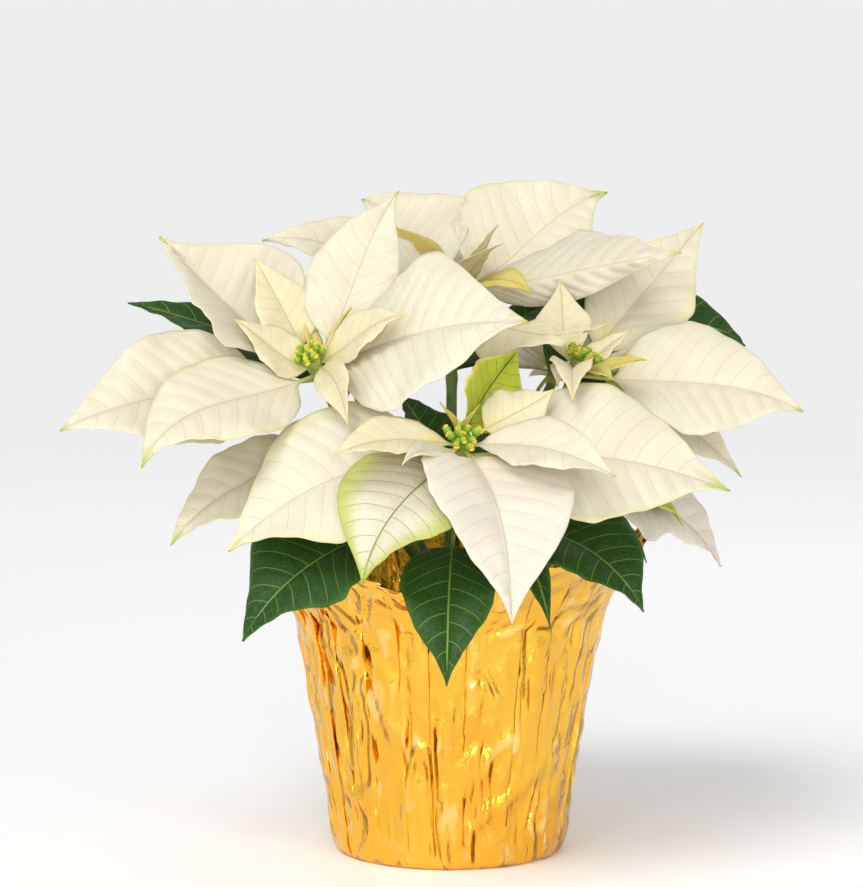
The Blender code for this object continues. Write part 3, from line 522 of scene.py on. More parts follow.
def blade_stations(head_name, b, pitch):
    """Shares of the midrib at which a blade has a ring."""
    probe, _ = midrib(head_name, b, np.linspace(0, 1, 40))
    length = np.linalg.norm(np.diff(probe, axis=0), axis=1).sum()
    bare = b["petiole"]
    stalk = max(4, round(length * bare / STALK_PITCH))
    rows = int(np.clip(length * (1 - bare) / pitch, *BLADE_ROWS))
    stalk_shares = np.linspace(0, bare, stalk, endpoint=False)
    return np.concatenate([stalk_shares, bare + (1 - bare) * np.linspace(0, 1, rows)])


def blade_shape(head_name, b, settings, draw):
    """Points of a closed blade, ring by ring: over its top from left to right, and back underneath.

    Also gives, for each point, the share u of the blade's length, the share v of its half-width, its distance
    from the rib in millimetres, the phase of the side veins and whether it is on the underside.
    """
    along = blade_stations(head_name, b, settings.pitch)
    halves = int(np.clip(b["width"] / 2 / settings.pitch, *HALF_COLUMNS))
    points, ways = midrib(head_name, b, along)
    bare = b["petiole"]
    u = ((along - bare) / (1 - bare))[:, None]
    v = np.linspace(-1, 1, 2 * halves + 1)[None, :]
    size = b["width"] / LARGE_WIDTH
    up = units(np.array((0, 0, 1.0)) - ways * ways[:, 2:])
    out = np.cross(ways, up)
    turn = np.radians(b["roll"] + b["twist"] * along)[:, None]
    normal = (up * np.cos(turn) + out * np.sin(turn))[:, None, :]
    side = (out * np.cos(turn) - up * np.sin(turn))[:, None, :]

    inside = np.clip(u, 0, 1)
    spread = smooth(-.02, .07, u)  # 0 on the petiole, 1 on the blade
    stalk = PETIOLE_RADIUS * (1 - inside)
    left, right = (np.maximum(share(outline, inside) * b["width"] / 2, stalk) for outline in b["shape"])
    reach = np.maximum(np.where(v < 0, left, right), LEAST_REACH)
    fold = np.radians(np.where(v < 0, b["fold"][0], b["fold"][1])) * spread
    sign = np.sign(v)
    away = np.abs(v)
    rib = away * reach

    # Side veins leave the rib and bend forward, and the blade is puffed up between them
    pairs = 5 + b["width"] / 16
    slant = VEIN_SLANT * away**1.15
    phase = pairs * (inside - slant) / (1 - slant)
    between = .5 - .5 * np.cos(TAU * (phase + .5 * (v > 0)))
    inner = smooth(.02, .2, away) * (1 - smooth(.8, 1, away))
    puff = settings.puff * size * between * inner
    groove = -settings.groove * (1 - inside * .6) * np.exp(-(rib / 1.1)**2)
    turns = draw.uniform(0, TAU, 6)
    swell = settings.swell * size * away * (
        np.sin(4.1 * inside + 2.2 * v + turns[0]) + .7 * np.sin(9.3 * inside - 3.1 * v + turns[1])
        + .5 * np.sin(17 * inside + 5 * v + turns[2]))
    phases = np.where(v < 0, 0.0, 3.8)
    ruffle = b["wave"] * min(1, b["width"] / RUFFLED_WIDTH)
    wave = ruffle * away**1.6 * np.sin(3 * TAU * inside + phases) * np.sin(math.pi * inside)
    frill = .32 * ruffle * away**4 * np.sin(8.7 * TAU * inside + turns[3] + 2 * sign)
    frill = frill * smooth(.03, .2, inside) * (1 - smooth(.85, 1, inside))
    bow = settings.bow * reach * away * (1 - away)
    swell = swell * smooth(0, .15, inside) * (1 - smooth(.9, 1, inside))
    lift = (puff + groove + swell + wave + frill + bow) * spread

    flat = normal * np.cos(fold)[..., None] - side * (sign * np.sin(fold))[..., None]
    lean = np.minimum(1, away * 4)[..., None]
    face = units(normal * (1 - lean) + flat * lean)
    run = side * (sign * np.cos(fold))[..., None] + normal * np.sin(fold)[..., None]
    middle = points[:, None, :] + run * rib[..., None] + face * lift[..., None]

    # A round petiole becomes a thin sheet with a rib below it
    angle = v * math.pi / 2
    outward = side * np.sin(angle)[..., None]
    upward = normal * np.cos(angle)[..., None]
    round_top = points[:, None, :] + PETIOLE_RADIUS * (outward + .8 * upward)
    round_low = points[:, None, :] + PETIOLE_RADIUS * (outward - upward)
    keel = settings.rib * np.minimum(1, size + .25) * (1 - .8 * inside) * np.exp(-(rib / 1.2)**2)
    ridge = .28 * size * np.exp(-((between / .12)**2)) * inner * (1 - away)
    sheet = settings.thickness * (1 - .45 * away)
    mix = spread[..., None]
    top = round_top * (1 - mix) + (middle + face * (sheet / 2)[..., None]) * mix
    low = round_low * (1 - mix) + (middle - face * (sheet / 2 + keel + ridge)[..., None]) * mix

    rings = np.concatenate([top, low[:, ::-1]], axis=1)
    grid = top.shape[:2]
    under = np.concatenate([np.zeros(grid), np.ones(grid)], axis=1).ravel()
    return rings, *(both_sides(values, grid) for values in (u, v, rib, phase)), under


def both_sides(values, grid):
    """Values over a blade's top, from left to right and back underneath."""
    values = np.broadcast_to(values, grid)
    return np.concatenate([values, values[:, ::-1]], axis=1).ravel()


def blade_colours(look, colours, u, v, under, draw):
    """Colours of the surface and of the veins at each point of a blade."""
    face, base, edge, tip, shade, vein, strength, rim, end = LOOK_COLOURS[look]
    paint = {name: np.array(getattr(colours, name)[:]) for name in (face, base, edge, tip, shade, vein)}
    away = np.abs(v)
    weights = (
        (base, .75 * (1 - smooth(0, .34, u)) * (1 - .6 * smooth(0, .9, away))),
        (edge, (.8 if strength > .8 else .5) * smooth(rim, 1, away) * smooth(.05, .3, u)),
        (tip, .9 * smooth(end, 1.0, u)),
        # Undersides take the look's underside colour: painted shade on the bracts, the leaves' own paler
        # green on leaves
        (shade, .45 * under),
    )
    colour = np.broadcast_to(paint[face], (len(u), 3)).copy()
    colour *= 1 + draw.uniform(-.03, .03)
    for name, weight in weights:
        colour += (paint[name] - colour) * weight[:, None]
    stalk = np.array(colours.stalk[:])
    colour += (stalk - colour) * (1 - smooth(-.03, .05, u))[:, None] * .85
    veins = np.empty((len(u), 4))
    veins[:, :3] = paint[vein]
    veins[:, 3] = strength * smooth(-.02, .04, u)
    return np.column_stack([colour, np.ones(len(u))]), veins


def add_blade(skin, head_name, b, kind, slot):
    """Adds one finished blade to a skin."""
    scene = bpy.context.scene
    key = f"{head_name}_{b['name']}"
    draw = np.random.default_rng([SEED, *key.encode()])
    rings, u, v, rib, phase, under = blade_shape(head_name, b, scene.poinsettia_blades, draw)
    colour, veins = blade_colours(LOOKS.get(key, kind), scene.poinsettia_colours, u, v, under, draw)
    uv = np.column_stack([np.clip(u, 0, 1), v * .5 + .5])
    skin.add(rings.reshape(-1, 3), ring_faces(*rings.shape[:2]), slot, colour, veins, phase, rib, uv)


def add_hub(skin, name, slot):
    """The swollen top of a flowering stem, on which the bracts stand."""
    top, facing = head(name)
    t = np.linspace(0, 1, 16)
    points = top - facing * HUB_LENGTH * (1 - t[:, None])
    radii = HUB_RADII[0] + (HUB_RADII[1] - HUB_RADII[0]) * smooth(0, 1, t)
    radii[-1] *= .93
    ridges = 1 + .05 * np.sin(5 * np.arange(24) * TAU / 24)[None, :]
    skin.add(swept(points, np.tile(facing, (16, 1)), radii[:, None] * ridges, 24), ring_faces(16, 24), slot)


def add_stem(skin, name, slot):
    """A green branch with a slight swelling where each leaf leaves it."""
    t = np.linspace(0, 1, 64)
    points, ways = branch(name, t)
    radii = BRANCH_RADII[0] + (BRANCH_RADII[1] - BRANCH_RADII[0]) * t
    for b in LEAVES[name]:
        radii = radii + .55 * np.exp(-((t - b["at"]) / .022)**2)
    for i, scar in enumerate(np.arange(.08, .42, .085)):
        radii = radii + .35 * np.exp(-((t - scar - .01 * math.sin(i * 2.4)) / .008)**2)
    radii[0] = radii[0] - .1
    skin.add(swept(points, ways, radii, 24), ring_faces(64, 24), slot)


# Node trees written as sums

class Flow:
    """A value in a node tree that can be added, multiplied and shaped, so that a tree reads like a sum."""

    def __init__(self, tree, socket):
        self.tree, self.socket = tree, socket

    def math(self, operation, *others):
        node = self.tree.nodes.new("ShaderNodeMath")
        node.operation = operation
        for slot, value in zip(node.inputs, (self, *others)):
            plug(self.tree, slot, value)
        return Flow(self.tree, node.outputs[0])

    def __add__(self, other):
        return self.math("ADD", other)

    def __sub__(self, other):
        return self.math("SUBTRACT", other)

    def __mul__(self, other):
        return self.math("MULTIPLY", other)

    def __truediv__(self, other):
        return self.math("DIVIDE", other)

    def minus_from(self, number):
        return self.math("MULTIPLY_ADD", -1.0, number)

    def power(self, other):
        return self.math("POWER", other)

    def sin(self):
        return self.math("SINE")

    def cos(self):
        return self.math("COSINE")

    def size(self):
        return self.math("ABSOLUTE")

    def floor(self):
        return self.math("FLOOR")

    def part(self):
        return self.math("FRACT")

    def over(self, other):
        return self.math("GREATER_THAN", other)

    def least(self, other):
        return self.math("MINIMUM", other)

    def most(self, other):
        return self.math("MAXIMUM", other)

    def step(self, low, high):
        """A soft step from 0 at low to 1 at high."""
        node = self.tree.nodes.new("ShaderNodeMapRange")
        node.interpolation_type = "SMOOTHSTEP"
        plug(self.tree, node.inputs["Value"], self)
        plug(self.tree, node.inputs["From Min"], low)
        plug(self.tree, node.inputs["From Max"], high)
        return Flow(self.tree, node.outputs["Result"])


def plug(tree, slot, value):
    if isinstance(value, Flow):
        tree.links.new(value.socket, slot)
    elif value is not None:
        slot.default_value = value


def add_node(tree, kind, outlet=0, settings=None, **inputs):
    """A node with its settings and inputs, as the flow from one of its outlets."""
    node = tree.nodes.new(kind)
    for key, value in (settings or {}).items():
        setattr(node, key, value)
    for key, value in inputs.items():
        plug(tree, node.inputs[key.replace("_", " ")], value)
    return Flow(tree, node.outputs[outlet])


def vector(tree, x, y, z):
    return add_node(tree, "ShaderNodeCombineXYZ", X=x, Y=y, Z=z)


def parts_of(flow):
    node = flow.tree.nodes.new("ShaderNodeSeparateXYZ")
    plug(flow.tree, node.inputs[0], flow)
    return [Flow(flow.tree, out) for out in node.outputs]


def blend(tree, factor, a, b, kind="MIX"):
    """Mixes two colours."""
    node = tree.nodes.new("ShaderNodeMix")
    node.data_type = "RGBA"
    node.blend_type = kind
    plug(tree, node.inputs[0], factor)
    for slot, value in ((node.inputs[6], a), (node.inputs[7], b)):
        plug(tree, slot, (*value, 1) if isinstance(value, tuple) and len(value) == 3 else value)
    return Flow(tree, node.outputs[2])


# Materials

def new_material(name, roughness=.5, metallic=0.0):
    """A material, its tree and its surface shader."""
    material = bpy.data.materials.new(name)
    material.use_nodes = True
    tree = material.node_tree
    shader = tree.nodes["Principled BSDF"]
    shader.inputs["Roughness"].default_value = roughness
    shader.inputs["Metallic"].default_value = metallic
    return material, tree, shader


def object_place(tree):
    return add_node(tree, "ShaderNodeTexCoord", "Object")


def noise(tree, place, scale, detail=3.0, roughness=.5, distortion=0.0):
    return add_node(tree, "ShaderNodeTexNoise", "Fac", Vector=place, Scale=scale, Detail=detail,
                    Roughness=roughness, Distortion=distortion)


def bumped(tree, shader, height, strength, distance):
    """Gives a shader a relief, in metres at full height."""
    node = tree.nodes.new("ShaderNodeBump")
    node.inputs["Strength"].default_value = strength
    node.inputs["Distance"].default_value = distance
    plug(tree, node.inputs["Height"], height)
    tree.links.new(node.outputs["Normal"], shader.inputs["Normal"])


def attribute(tree, name, outlet):
    node = tree.nodes.new("ShaderNodeAttribute")
    node.attribute_name = name
    return Flow(tree, node.outputs[outlet])


def blade_material(name, roughness, glow, gloss):
    """Skin of a bract or leaf: side veins, midrib and a fine net of veins over the colours of its mesh."""
    material, tree, shader = new_material(name, roughness)
    place = object_place(tree)
    face = attribute(tree, "face_colour", "Color")
    vein = attribute(tree, "vein_colour", "Color")
    strength = attribute(tree, "vein_colour", "Alpha")
    phase = attribute(tree, "vein_phase", "Fac")
    rib = attribute(tree, "rib_distance", "Fac")
    node = tree.nodes.new("ShaderNodeUVMap")
    node.uv_map = "blade"
    along, across, _ = parts_of(Flow(tree, node.outputs[0]))
    away = (across * 2.0 - 1.0).size()
    wobble = (noise(tree, place, 90.0) - .5) * .10
    shifted = (phase + wobble + across.over(.5) * .5).part()
    near = (shifted - .5).size() * 2.0
    side = near.step(.91, .99) * away.step(1.0, .8) * rib.step(.1, .8)
    middle = rib.step(.75, .2) * along.step(1.0, .8)
    cells = add_node(tree, "ShaderNodeTexVoronoi", "Distance", settings={"feature": "DISTANCE_TO_EDGE"},
                     Vector=place, Scale=330.0)
    net = cells.step(.075, .0) * .14
    lines = (side * .75).most(middle).most(net)
    mottle = noise(tree, place, 55.0, 4.0)
    tone = blend(tree, mottle.step(.3, .75) * .16, face, blend(tree, 1.0, face, face, "MULTIPLY"))
    plug(tree, shader.inputs["Base Color"], blend(tree, lines * strength, tone, vein))
    plug(tree, shader.inputs["Roughness"], noise(tree, place, 140.0) * .2 + (roughness - .1))
    shader.inputs["Subsurface Weight"].default_value = glow
    shader.inputs["Subsurface Scale"].default_value = .0012
    shader.inputs["Subsurface Radius"].default_value = (1.0, .8, .35)
    shader.inputs["Specular IOR Level"].default_value = gloss
    grain = noise(tree, place, 900.0, 2.0)
    bumped(tree, shader, grain * .2 - side * .35 - net * .8, .35, .0003)
    return material


def foil_material(colour):
    """Gold foil: bright metal with fine crinkles, with a darker, warmer painted shade in its folds and
    grooves and a paler painted highlight on its raised crests.
    """
    material, tree, shader = new_material("gold_foil", .2, .96)
    place = object_place(tree)
    crinkle = noise(tree, place, 110.0, 2.0, .5, .8)
    patches = noise(tree, place, 22.0, 2.0)
    pressed = attribute(tree, "pressed", "Fac") + (crinkle - .5) * 1.2
    # Painted shade: darker, warmer gold where the foil is pressed in and along each pleat's fold
    deep = tuple(c * k for c, k in zip(colour, (.72, .48, .30)))
    warm = tuple(c * k for c, k in zip(colour, (1.0, .86, .62)))
    # Painted highlight: paler gold on the raised crests
    bright = tuple(1 - (1 - c) * k for c, k in zip(colour, (.4, .62, .80)))
    gold = blend(tree, patches.step(.35, .75), tuple(colour), warm)
    gold = blend(tree, pressed.step(-1.1, -2.4), gold, deep)
    gold = blend(tree, pressed.step(.55, 1.6) * .7, gold, bright)
    x, y, z = parts_of(place)
    swirl = noise(tree, vector(tree, x, y, z * .32), 34.0, 1.0, .5, .4)
    flames = (swirl * 38.0).sin() * noise(tree, place, 24.0, 1.0).step(.30, .52)
    plug(tree, shader.inputs["Base Color"], gold)
    plug(tree, shader.inputs["Roughness"], crinkle * .14 + .12)
    shader.inputs["Coat Weight"].default_value = .5
    shader.inputs["Coat Roughness"].default_value = .16
    bumped(tree, shader, crinkle * .6 + flames * .7, .9, .0018)
    tree.links.new(shader.inputs["Normal"].links[0].from_socket, shader.inputs["Coat Normal"])
    return material


def plastic_material(colour):
    """Dull moulded plastic with a faint grain and dusty scuffs."""
    material, tree, shader = new_material("pot_plastic")
    place = object_place(tree)
    dust = noise(tree, place, 40.0, 5.0, .6)
    dusty = tuple(c * .6 + .09 for c in colour)
    plug(tree, shader.inputs["Base Color"], blend(tree, dust.step(.5, .8) * .5, tuple(colour), dusty))
    plug(tree, shader.inputs["Roughness"], dust * .3 + .35)
    bumped(tree, shader, noise(tree, place, 1400.0, 2.0), .3, .0002)
    return material


def peat_material(colour):
    """Moist dark peat, in fibres and crumbs of different browns."""
    material, tree, shader = new_material("peat", .9)
    place = object_place(tree)
    grain = noise(tree, place, 260.0, 6.0, .7)
    light = tuple(c * 3.2 + .01 for c in colour)
    plug(tree, shader.inputs["Base Color"], blend(tree, grain.step(.42, .7), tuple(colour), light))
    plug(tree, shader.inputs["Roughness"], grain * .3 + .65)
    bumped(tree, shader, grain, .8, .0012)
    return material


def perlite_material():
    """Rough white volcanic grains."""
    material, tree, shader = new_material("perlite", .85)
    place = object_place(tree)
    grain = noise(tree, place, 600.0, 4.0)
    plug(tree, shader.inputs["Base Color"], blend(tree, grain, (.80, .78, .72), (.45, .42, .36)))
    bumped(tree, shader, grain, .6, .0005)
    return material


def stem_material(name, colour, dark, scale):
    """Green stem or young bark, streaked along the plant with pale pores."""
    material, tree, shader = new_material(name, .5)
    place = object_place(tree)
    x, y, z = parts_of(place)
    streak = noise(tree, vector(tree, x, y, z * .25), scale, 4.0)
    pores = add_node(tree, "ShaderNodeTexVoronoi", "Distance", Vector=place, Scale=260.0).step(.16, .06)
    base = blend(tree, streak.step(.3, .7), tuple(dark), tuple(colour))
    pale = tuple(min(1, c * 1.8 + .05) for c in colour)
    plug(tree, shader.inputs["Base Color"], blend(tree, pores * .5, base, pale))
    plug(tree, shader.inputs["Roughness"], streak * .3 + .35)
    bumped(tree, shader, streak + pores * .4, .4, .0005)
    return material


def bud_material():
    """Waxy skin of the buds and their glands, over the colours of the mesh."""
    material, tree, shader = new_material("bud_skin", .35)
    place = object_place(tree)
    tint = attribute(tree, "tint", "Color")
    spots = noise(tree, place, 700.0, 3.0)
    deeper = blend(tree, 1.0, tint, tint, "MULTIPLY")
    plug(tree, shader.inputs["Base Color"], blend(tree, spots.step(.35, .8) * .35, tint, deeper))
    plug(tree, shader.inputs["Roughness"], spots * .25 + .25)
    shader.inputs["Subsurface Weight"].default_value = .2
    shader.inputs["Subsurface Scale"].default_value = .001
    shader.inputs["Coat Weight"].default_value = .2
    bumped(tree, shader, spots, .25, .0003)
    return material


def floor_material(colour):
    material, tree, shader = new_material("studio_floor", .6)
    place = object_place(tree)
    worn = tuple(c * .97 for c in colour)
    plug(tree, shader.inputs["Base Color"], blend(tree, noise(tree, place, 3.0) * .1, tuple(colour), worn))
    return material


# Geometry node trees

class Grower:
    """A geometry tree with named inputs, whose last steps realise its instances and give the material."""

    def __init__(self, name, inputs):
        self.tree = bpy.data.node_groups.new(name, "GeometryNodeTree")
        self.kinds = {}
        face = self.tree.interface
        face.new_socket(name="Geometry", in_out="INPUT", socket_type="NodeSocketGeometry")
        for title, kind, value in inputs:
            socket = face.new_socket(name=title, in_out="INPUT", socket_type="NodeSocket" + kind)
            if value is not None:
                socket.default_value = value
        face.new_socket(name="Geometry", in_out="OUTPUT", socket_type="NodeSocketGeometry")
        self.source = self.tree.nodes.new("NodeGroupInput")

    def given(self, title):
        return Flow(self.tree, self.source.outputs[title])

    def add(self, kind, outlet=0, settings=None, **inputs):
        return add_node(self.tree, kind, outlet, settings, **inputs)

    def finish(self, flow, material=None):
        """Ends the tree. The material is left out where the parts already have theirs."""
        flow = self.add("GeometryNodeRealizeInstances", Geometry=flow)
        flow = self.add("GeometryNodeSetMaterial", Geometry=flow, Material=material)
        out = self.tree.nodes.new("NodeGroupOutput")
        self.tree.links.new(flow.socket, out.inputs[0])

    def grown(self, name, mesh, values):
        """The plain mesh that the tree makes from a mesh and the given inputs."""
        obj = linked(name + "_guide", mesh)
        modifier = obj.modifiers.new("grow", "NODES")
        modifier.node_group = self.tree
        for item in self.tree.interface.items_tree:
            if item.in_out == "INPUT" and item.name in values:
                modifier[item.identifier] = values[item.name]
        made = plain_mesh(obj)
        bpy.data.objects.remove(obj)
        return made


def plain_mesh(obj):
    bpy.context.view_layer.update()
    graph = bpy.context.evaluated_depsgraph_get()
    final = obj.evaluated_get(graph)
    return bpy.data.meshes.new_from_object(final, preserve_all_data_layers=True, depsgraph=graph)


def joined_flows(grower, flows):
    node = grower.tree.nodes.new("GeometryNodeJoinGeometry")
    for flow in flows:
        grower.tree.links.new(flow.socket, node.inputs[0])
    return Flow(grower.tree, node.outputs[0])


def foil_grower():
    """A pleated, embossed cone of foil that flares into a wavy skirt, from a flat grid."""
    g = Grower("pleated_foil", (
        ("Pleats", "Int", 26), ("Depth", "Float", 2.2), ("Skirt Radius", "Float", 102.5),
        ("Skirt Height", "Float", 162.0), ("Waves", "Int", 6), ("Tongues", "Int", 72),
        ("Emboss", "Float", 1.0), ("Columns", "Int", 365), ("Rows", "Int", FOIL_ROWS),
        ("Material", "Material", None),
    ))
    crease_radius, crease = FOIL_CREASE
    grid = g.add("GeometryNodeMeshGrid", Size_X=1.0, Size_Y=1.0, Vertices_X=g.given("Columns"),
                 Vertices_Y=g.given("Rows"))
    x, y, _ = parts_of(g.add("GeometryNodeInputPosition"))
    round_share = x + .5
    angle = round_share * TAU
    level = (y + .5) * (2 + FOIL_BASE_SHARE) - FOIL_BASE_SHARE

    # Each pleat rises slowly and drops back under the next one, which it overhangs
    jitter = (angle * 3.0 + 1.0).sin() * .22 + (angle * 7.0).sin() * .16
    pleat = (round_share * g.given("Pleats") + jitter).part()
    lift = (pleat * 1.16 - .3).least(pleat.minus_from(1.0) * 9.0 - .3)
    up = (level - 1.0).most(0.0).least(1.0)
    depth = g.given("Depth") * (level.most(0.0).least(1.0) * .75 + .25) * (up * -.6 + 1.0)
    lap = pleat.step(.62, .9) * pleat.step(1.0, .95) * .055

    height = level.most(0.0).least(1.0) * crease
    radius = (level / FOIL_BASE_SHARE + 1.0).most(0.0).least(1.0) * FOIL_FOOT
    foot_radius, foot = FOIL_FOOT_EDGE
    climbed = (height - foot).most(0.0) / (crease - foot)
    radius = radius + (height / foot).least(1.0) * (foot_radius - FOIL_FOOT)
    radius = radius + climbed.power(SKIRT_FLARE) * (crease_radius - foot_radius)

    waves = (angle * g.given("Waves")).cos()
    edge_radius = waves * 3.5 + g.given("Skirt Radius") + angle.cos()
    edge_height = g.given("Skirt Height") + angle.cos() * 4.5 + angle.sin() * 7.0 + waves * 5.0
    edge_height = edge_height + (angle * 11.0).sin() * 1.6
    radius = radius + (edge_radius - crease_radius) * up.power(SKIRT_FLARE)
    height = height + (edge_height - crease) * up

    # Relief: long folds, and tongues like flames pressed into the foil, which stop short of each pleat's fold
    clear = pleat.step(.0, .12) * pleat.step(1.0, .84)

    def around(squash, scale, detail, distortion=0.0):
        """Noise round the cone, with its height squashed so that it is drawn out upwards."""
        where = vector(g.tree, angle.cos() * radius, angle.sin() * radius, height * squash)
        return noise(g.tree, where, scale, detail, .5, distortion)

    swirl = around(.45, .034, 2.0, .4)
    fading = around(.45, .06, 1.0)
    tongues = (angle * g.given("Tongues") + swirl * 40.0).sin()
    tongues = tongues * fading.step(.34, .56)
    folded = around(.15, .10, 2.0, .6) - .5
    dents = around(.5, .10, 1.0) - .5
    pressed = (tongues * .7 + folded * 3.2 + dents * 4.5) * clear * level.step(.02, .12)
    crumple = around(.45, .11, 3.0) - .5
    pressed = pressed + crumple * 6.0 * level.step(.0, .03) * level.step(.16, .05)
    relief = pressed * g.given("Emboss") * (up * -.4 + 1.0)

    reach = radius + lift * depth * level.step(.0, .05) + relief
    angle = angle + lap
    place = vector(g.tree, reach * angle.cos(), reach * angle.sin(), height)
    metres = g.add("ShaderNodeVectorMath", settings={"operation": "SCALE"}, Vector=place, Scale=MM)
    # The stored relief drives the foil's painted shade and highlights; it also dips along each pleat's fold,
    # so that a shadow line is painted there
    marked = g.tree.nodes.new("GeometryNodeStoreNamedAttribute")
    marked.inputs["Name"].default_value = "pressed"
    plug(g.tree, marked.inputs["Geometry"], grid)
    plug(g.tree, marked.inputs["Value"], pressed - pleat.step(.86, .97) * 1.5 - pleat.step(.06, .0) * 1.5)
    moved = g.add("GeometryNodeSetPosition", Geometry=Flow(g.tree, marked.outputs[0]), Position=metres)
    closed = g.add("GeometryNodeMergeByDistance", Geometry=moved, Distance=.00002)
    g.finish(g.add("GeometryNodeSetShadeSmooth", Geometry=closed), g.given("Material"))
    return g


def crumbs_grower():
    """Crumbs scattered over the upward faces of a surface; the surface itself is not part of the result."""
    g = Grower("scattered_crumbs", (
        ("Density", "Float", 60000.0), ("Smallest", "Float", .0005), ("Largest", "Float", .0016),
        ("Seed", "Int", SEED), ("Material", "Material", None),
    ))
    up = parts_of(g.add("GeometryNodeInputNormal"))[2].over(.7)
    spots = g.tree.nodes.new("GeometryNodeDistributePointsOnFaces")
    plug(g.tree, spots.inputs["Mesh"], g.given("Geometry"))
    plug(g.tree, spots.inputs["Selection"], up)
    plug(g.tree, spots.inputs["Density"], g.given("Density"))
    plug(g.tree, spots.inputs["Seed"], g.given("Seed"))
    crumb = g.add("GeometryNodeMeshIcoSphere", Radius=1.0, Subdivisions=1)
    turn = g.tree.nodes.new("FunctionNodeRandomValue")
    turn.data_type = "FLOAT_VECTOR"
    turn.inputs[1].default_value = (TAU, TAU, TAU)
    plug(g.tree, turn.inputs["Seed"], g.given("Seed"))
    size = g.tree.nodes.new("FunctionNodeRandomValue")
    size.data_type = "FLOAT_VECTOR"
    plug(g.tree, size.inputs["Seed"], g.given("Seed") + 1.0)
    for slot, title in enumerate(("Smallest", "Largest")):
        plug(g.tree, size.inputs[slot], vector(g.tree, *[g.given(title)] * 3))
    placed = g.add("GeometryNodeInstanceOnPoints", Points=Flow(g.tree, spots.outputs[0]), Instance=crumb,
                   Rotation=Flow(g.tree, turn.outputs[0]), Scale=Flow(g.tree, size.outputs[0]))
    g.finish(placed, g.given("Material"))
    return g


def bud_grower():
    """A cluster of buds spread like seeds over a small disc, each with a gland and a crown of stamens."""
    g = Grower("bud_cluster", (
        ("Buds", "Int", 11), ("Spread", "Float", 7.8), ("Bud Radius", "Float", 2.6),
        ("Bud Height", "Float", 3.0), ("Seed", "Int", SEED), ("Green", "Color", None),
        ("Gland", "Color", None), ("Stamen", "Color", None), ("Material", "Material", None),
    ))

    def tinted(flow, title):
        node = g.tree.nodes.new("GeometryNodeStoreNamedAttribute")
        node.data_type = "FLOAT_COLOR"
        node.inputs["Name"].default_value = "tint"
        plug(g.tree, node.inputs["Geometry"], flow)
        plug(g.tree, node.inputs["Value"], g.given(title))
        return Flow(g.tree, node.outputs[0])

    def placed(flow, where, scale, rotation=None):
        return g.add("GeometryNodeTransform", Geometry=flow, Translation=where, Scale=scale,
                     Rotation=rotation)

    radius, tall = g.given("Bud Radius"), g.given("Bud Height")
    ball = g.add("GeometryNodeMeshUVSphere", Segments=20, Rings=12, Radius=1.0)
    small = g.add("GeometryNodeMeshUVSphere", Segments=8, Rings=6, Radius=1.0)
    at = vector(g.tree, 0.0, 0.0, tall * .55)
    body = tinted(placed(ball, at, vector(g.tree, radius * .88, radius * .88, tall * .95)), "Green")
    at = vector(g.tree, radius * .72, 0.0, tall * 1.02)
    oval = vector(g.tree, radius * .42, radius * .62, radius * .30)
    gland = tinted(placed(ball, at, oval, (0.0, .5, 0.0)), "Gland")
    ring = g.add("GeometryNodeMeshCircle", Vertices=6, Radius=radius * .34)
    grain = vector(g.tree, radius * .17, radius * .17, radius * .34)
    crown = g.add("GeometryNodeInstanceOnPoints", Points=ring, Instance=small, Scale=grain)
    crown = tinted(placed(crown, vector(g.tree, 0.0, 0.0, tall * 1.42), (1.0, 1.0, 1.0)), "Stamen")
    bud = joined_flows(g, (body, gland, crown))

    index = g.add("GeometryNodeInputIndex")
    angle = index * math.radians(GOLDEN_ANGLE)
    reach = (index / (g.given("Buds") - 1.0)).power(.5) * g.given("Spread")
    spot = vector(g.tree, angle.cos() * reach, angle.sin() * reach, 0.0)
    points = g.add("GeometryNodePoints", Count=g.given("Buds"), Position=spot)
    lean = reach / g.given("Spread") * math.radians(BUD_LEAN)
    spin = g.tree.nodes.new("FunctionNodeRandomValue")
    plug(g.tree, spin.inputs["Seed"], g.given("Seed"))
    facing = angle + (Flow(g.tree, spin.outputs[1]) - .5) * 1.6
    grow = g.tree.nodes.new("FunctionNodeRandomValue")
    plug(g.tree, grow.inputs["Seed"], g.given("Seed") + 3.0)
    scale = Flow(g.tree, grow.outputs[1]) * .3 + .78
    placed_buds = g.add("GeometryNodeInstanceOnPoints", Points=points, Instance=bud,
                        Rotation=vector(g.tree, 0.0, lean, facing), Scale=vector(g.tree, scale, scale, scale))
    real_buds = g.add("GeometryNodeRealizeInstances", Geometry=placed_buds)
    metres = g.add("GeometryNodeTransform", Geometry=real_buds, Scale=(MM, MM, MM))
    smooth_buds = g.add("GeometryNodeSetShadeSmooth", Geometry=metres)
    g.finish(smooth_buds, g.given("Material"))
    return g


# Plain pieces

def circle_at(radius, height, steps):
    """Points of a level circle about the axis. The radius or the height may differ from point to point."""
    angles = np.arange(steps) * TAU / steps
    return np.column_stack([radius * np.cos(angles), radius * np.sin(angles), np.full(steps, 1.0) * height])


def lathe(side, steps):
    """Points and faces of a turned solid whose profile starts and ends on the axis."""
    rings = np.array([circle_at(r, z, steps) for r, z in side[1:-1]])
    faces = ring_faces(len(rings), steps)[:-2]
    points = np.concatenate([rings.reshape(-1, 3), [(0, 0, side[0][1]), (0, 0, side[-1][1])]])
    first, last = len(points) - 2, len(points) - 1
    base = (len(rings) - 1) * steps
    for i in range(steps):
        k = (i + 1) % steps
        faces += [(i, first, k), (base + i, base + k, last)]
    return points, faces


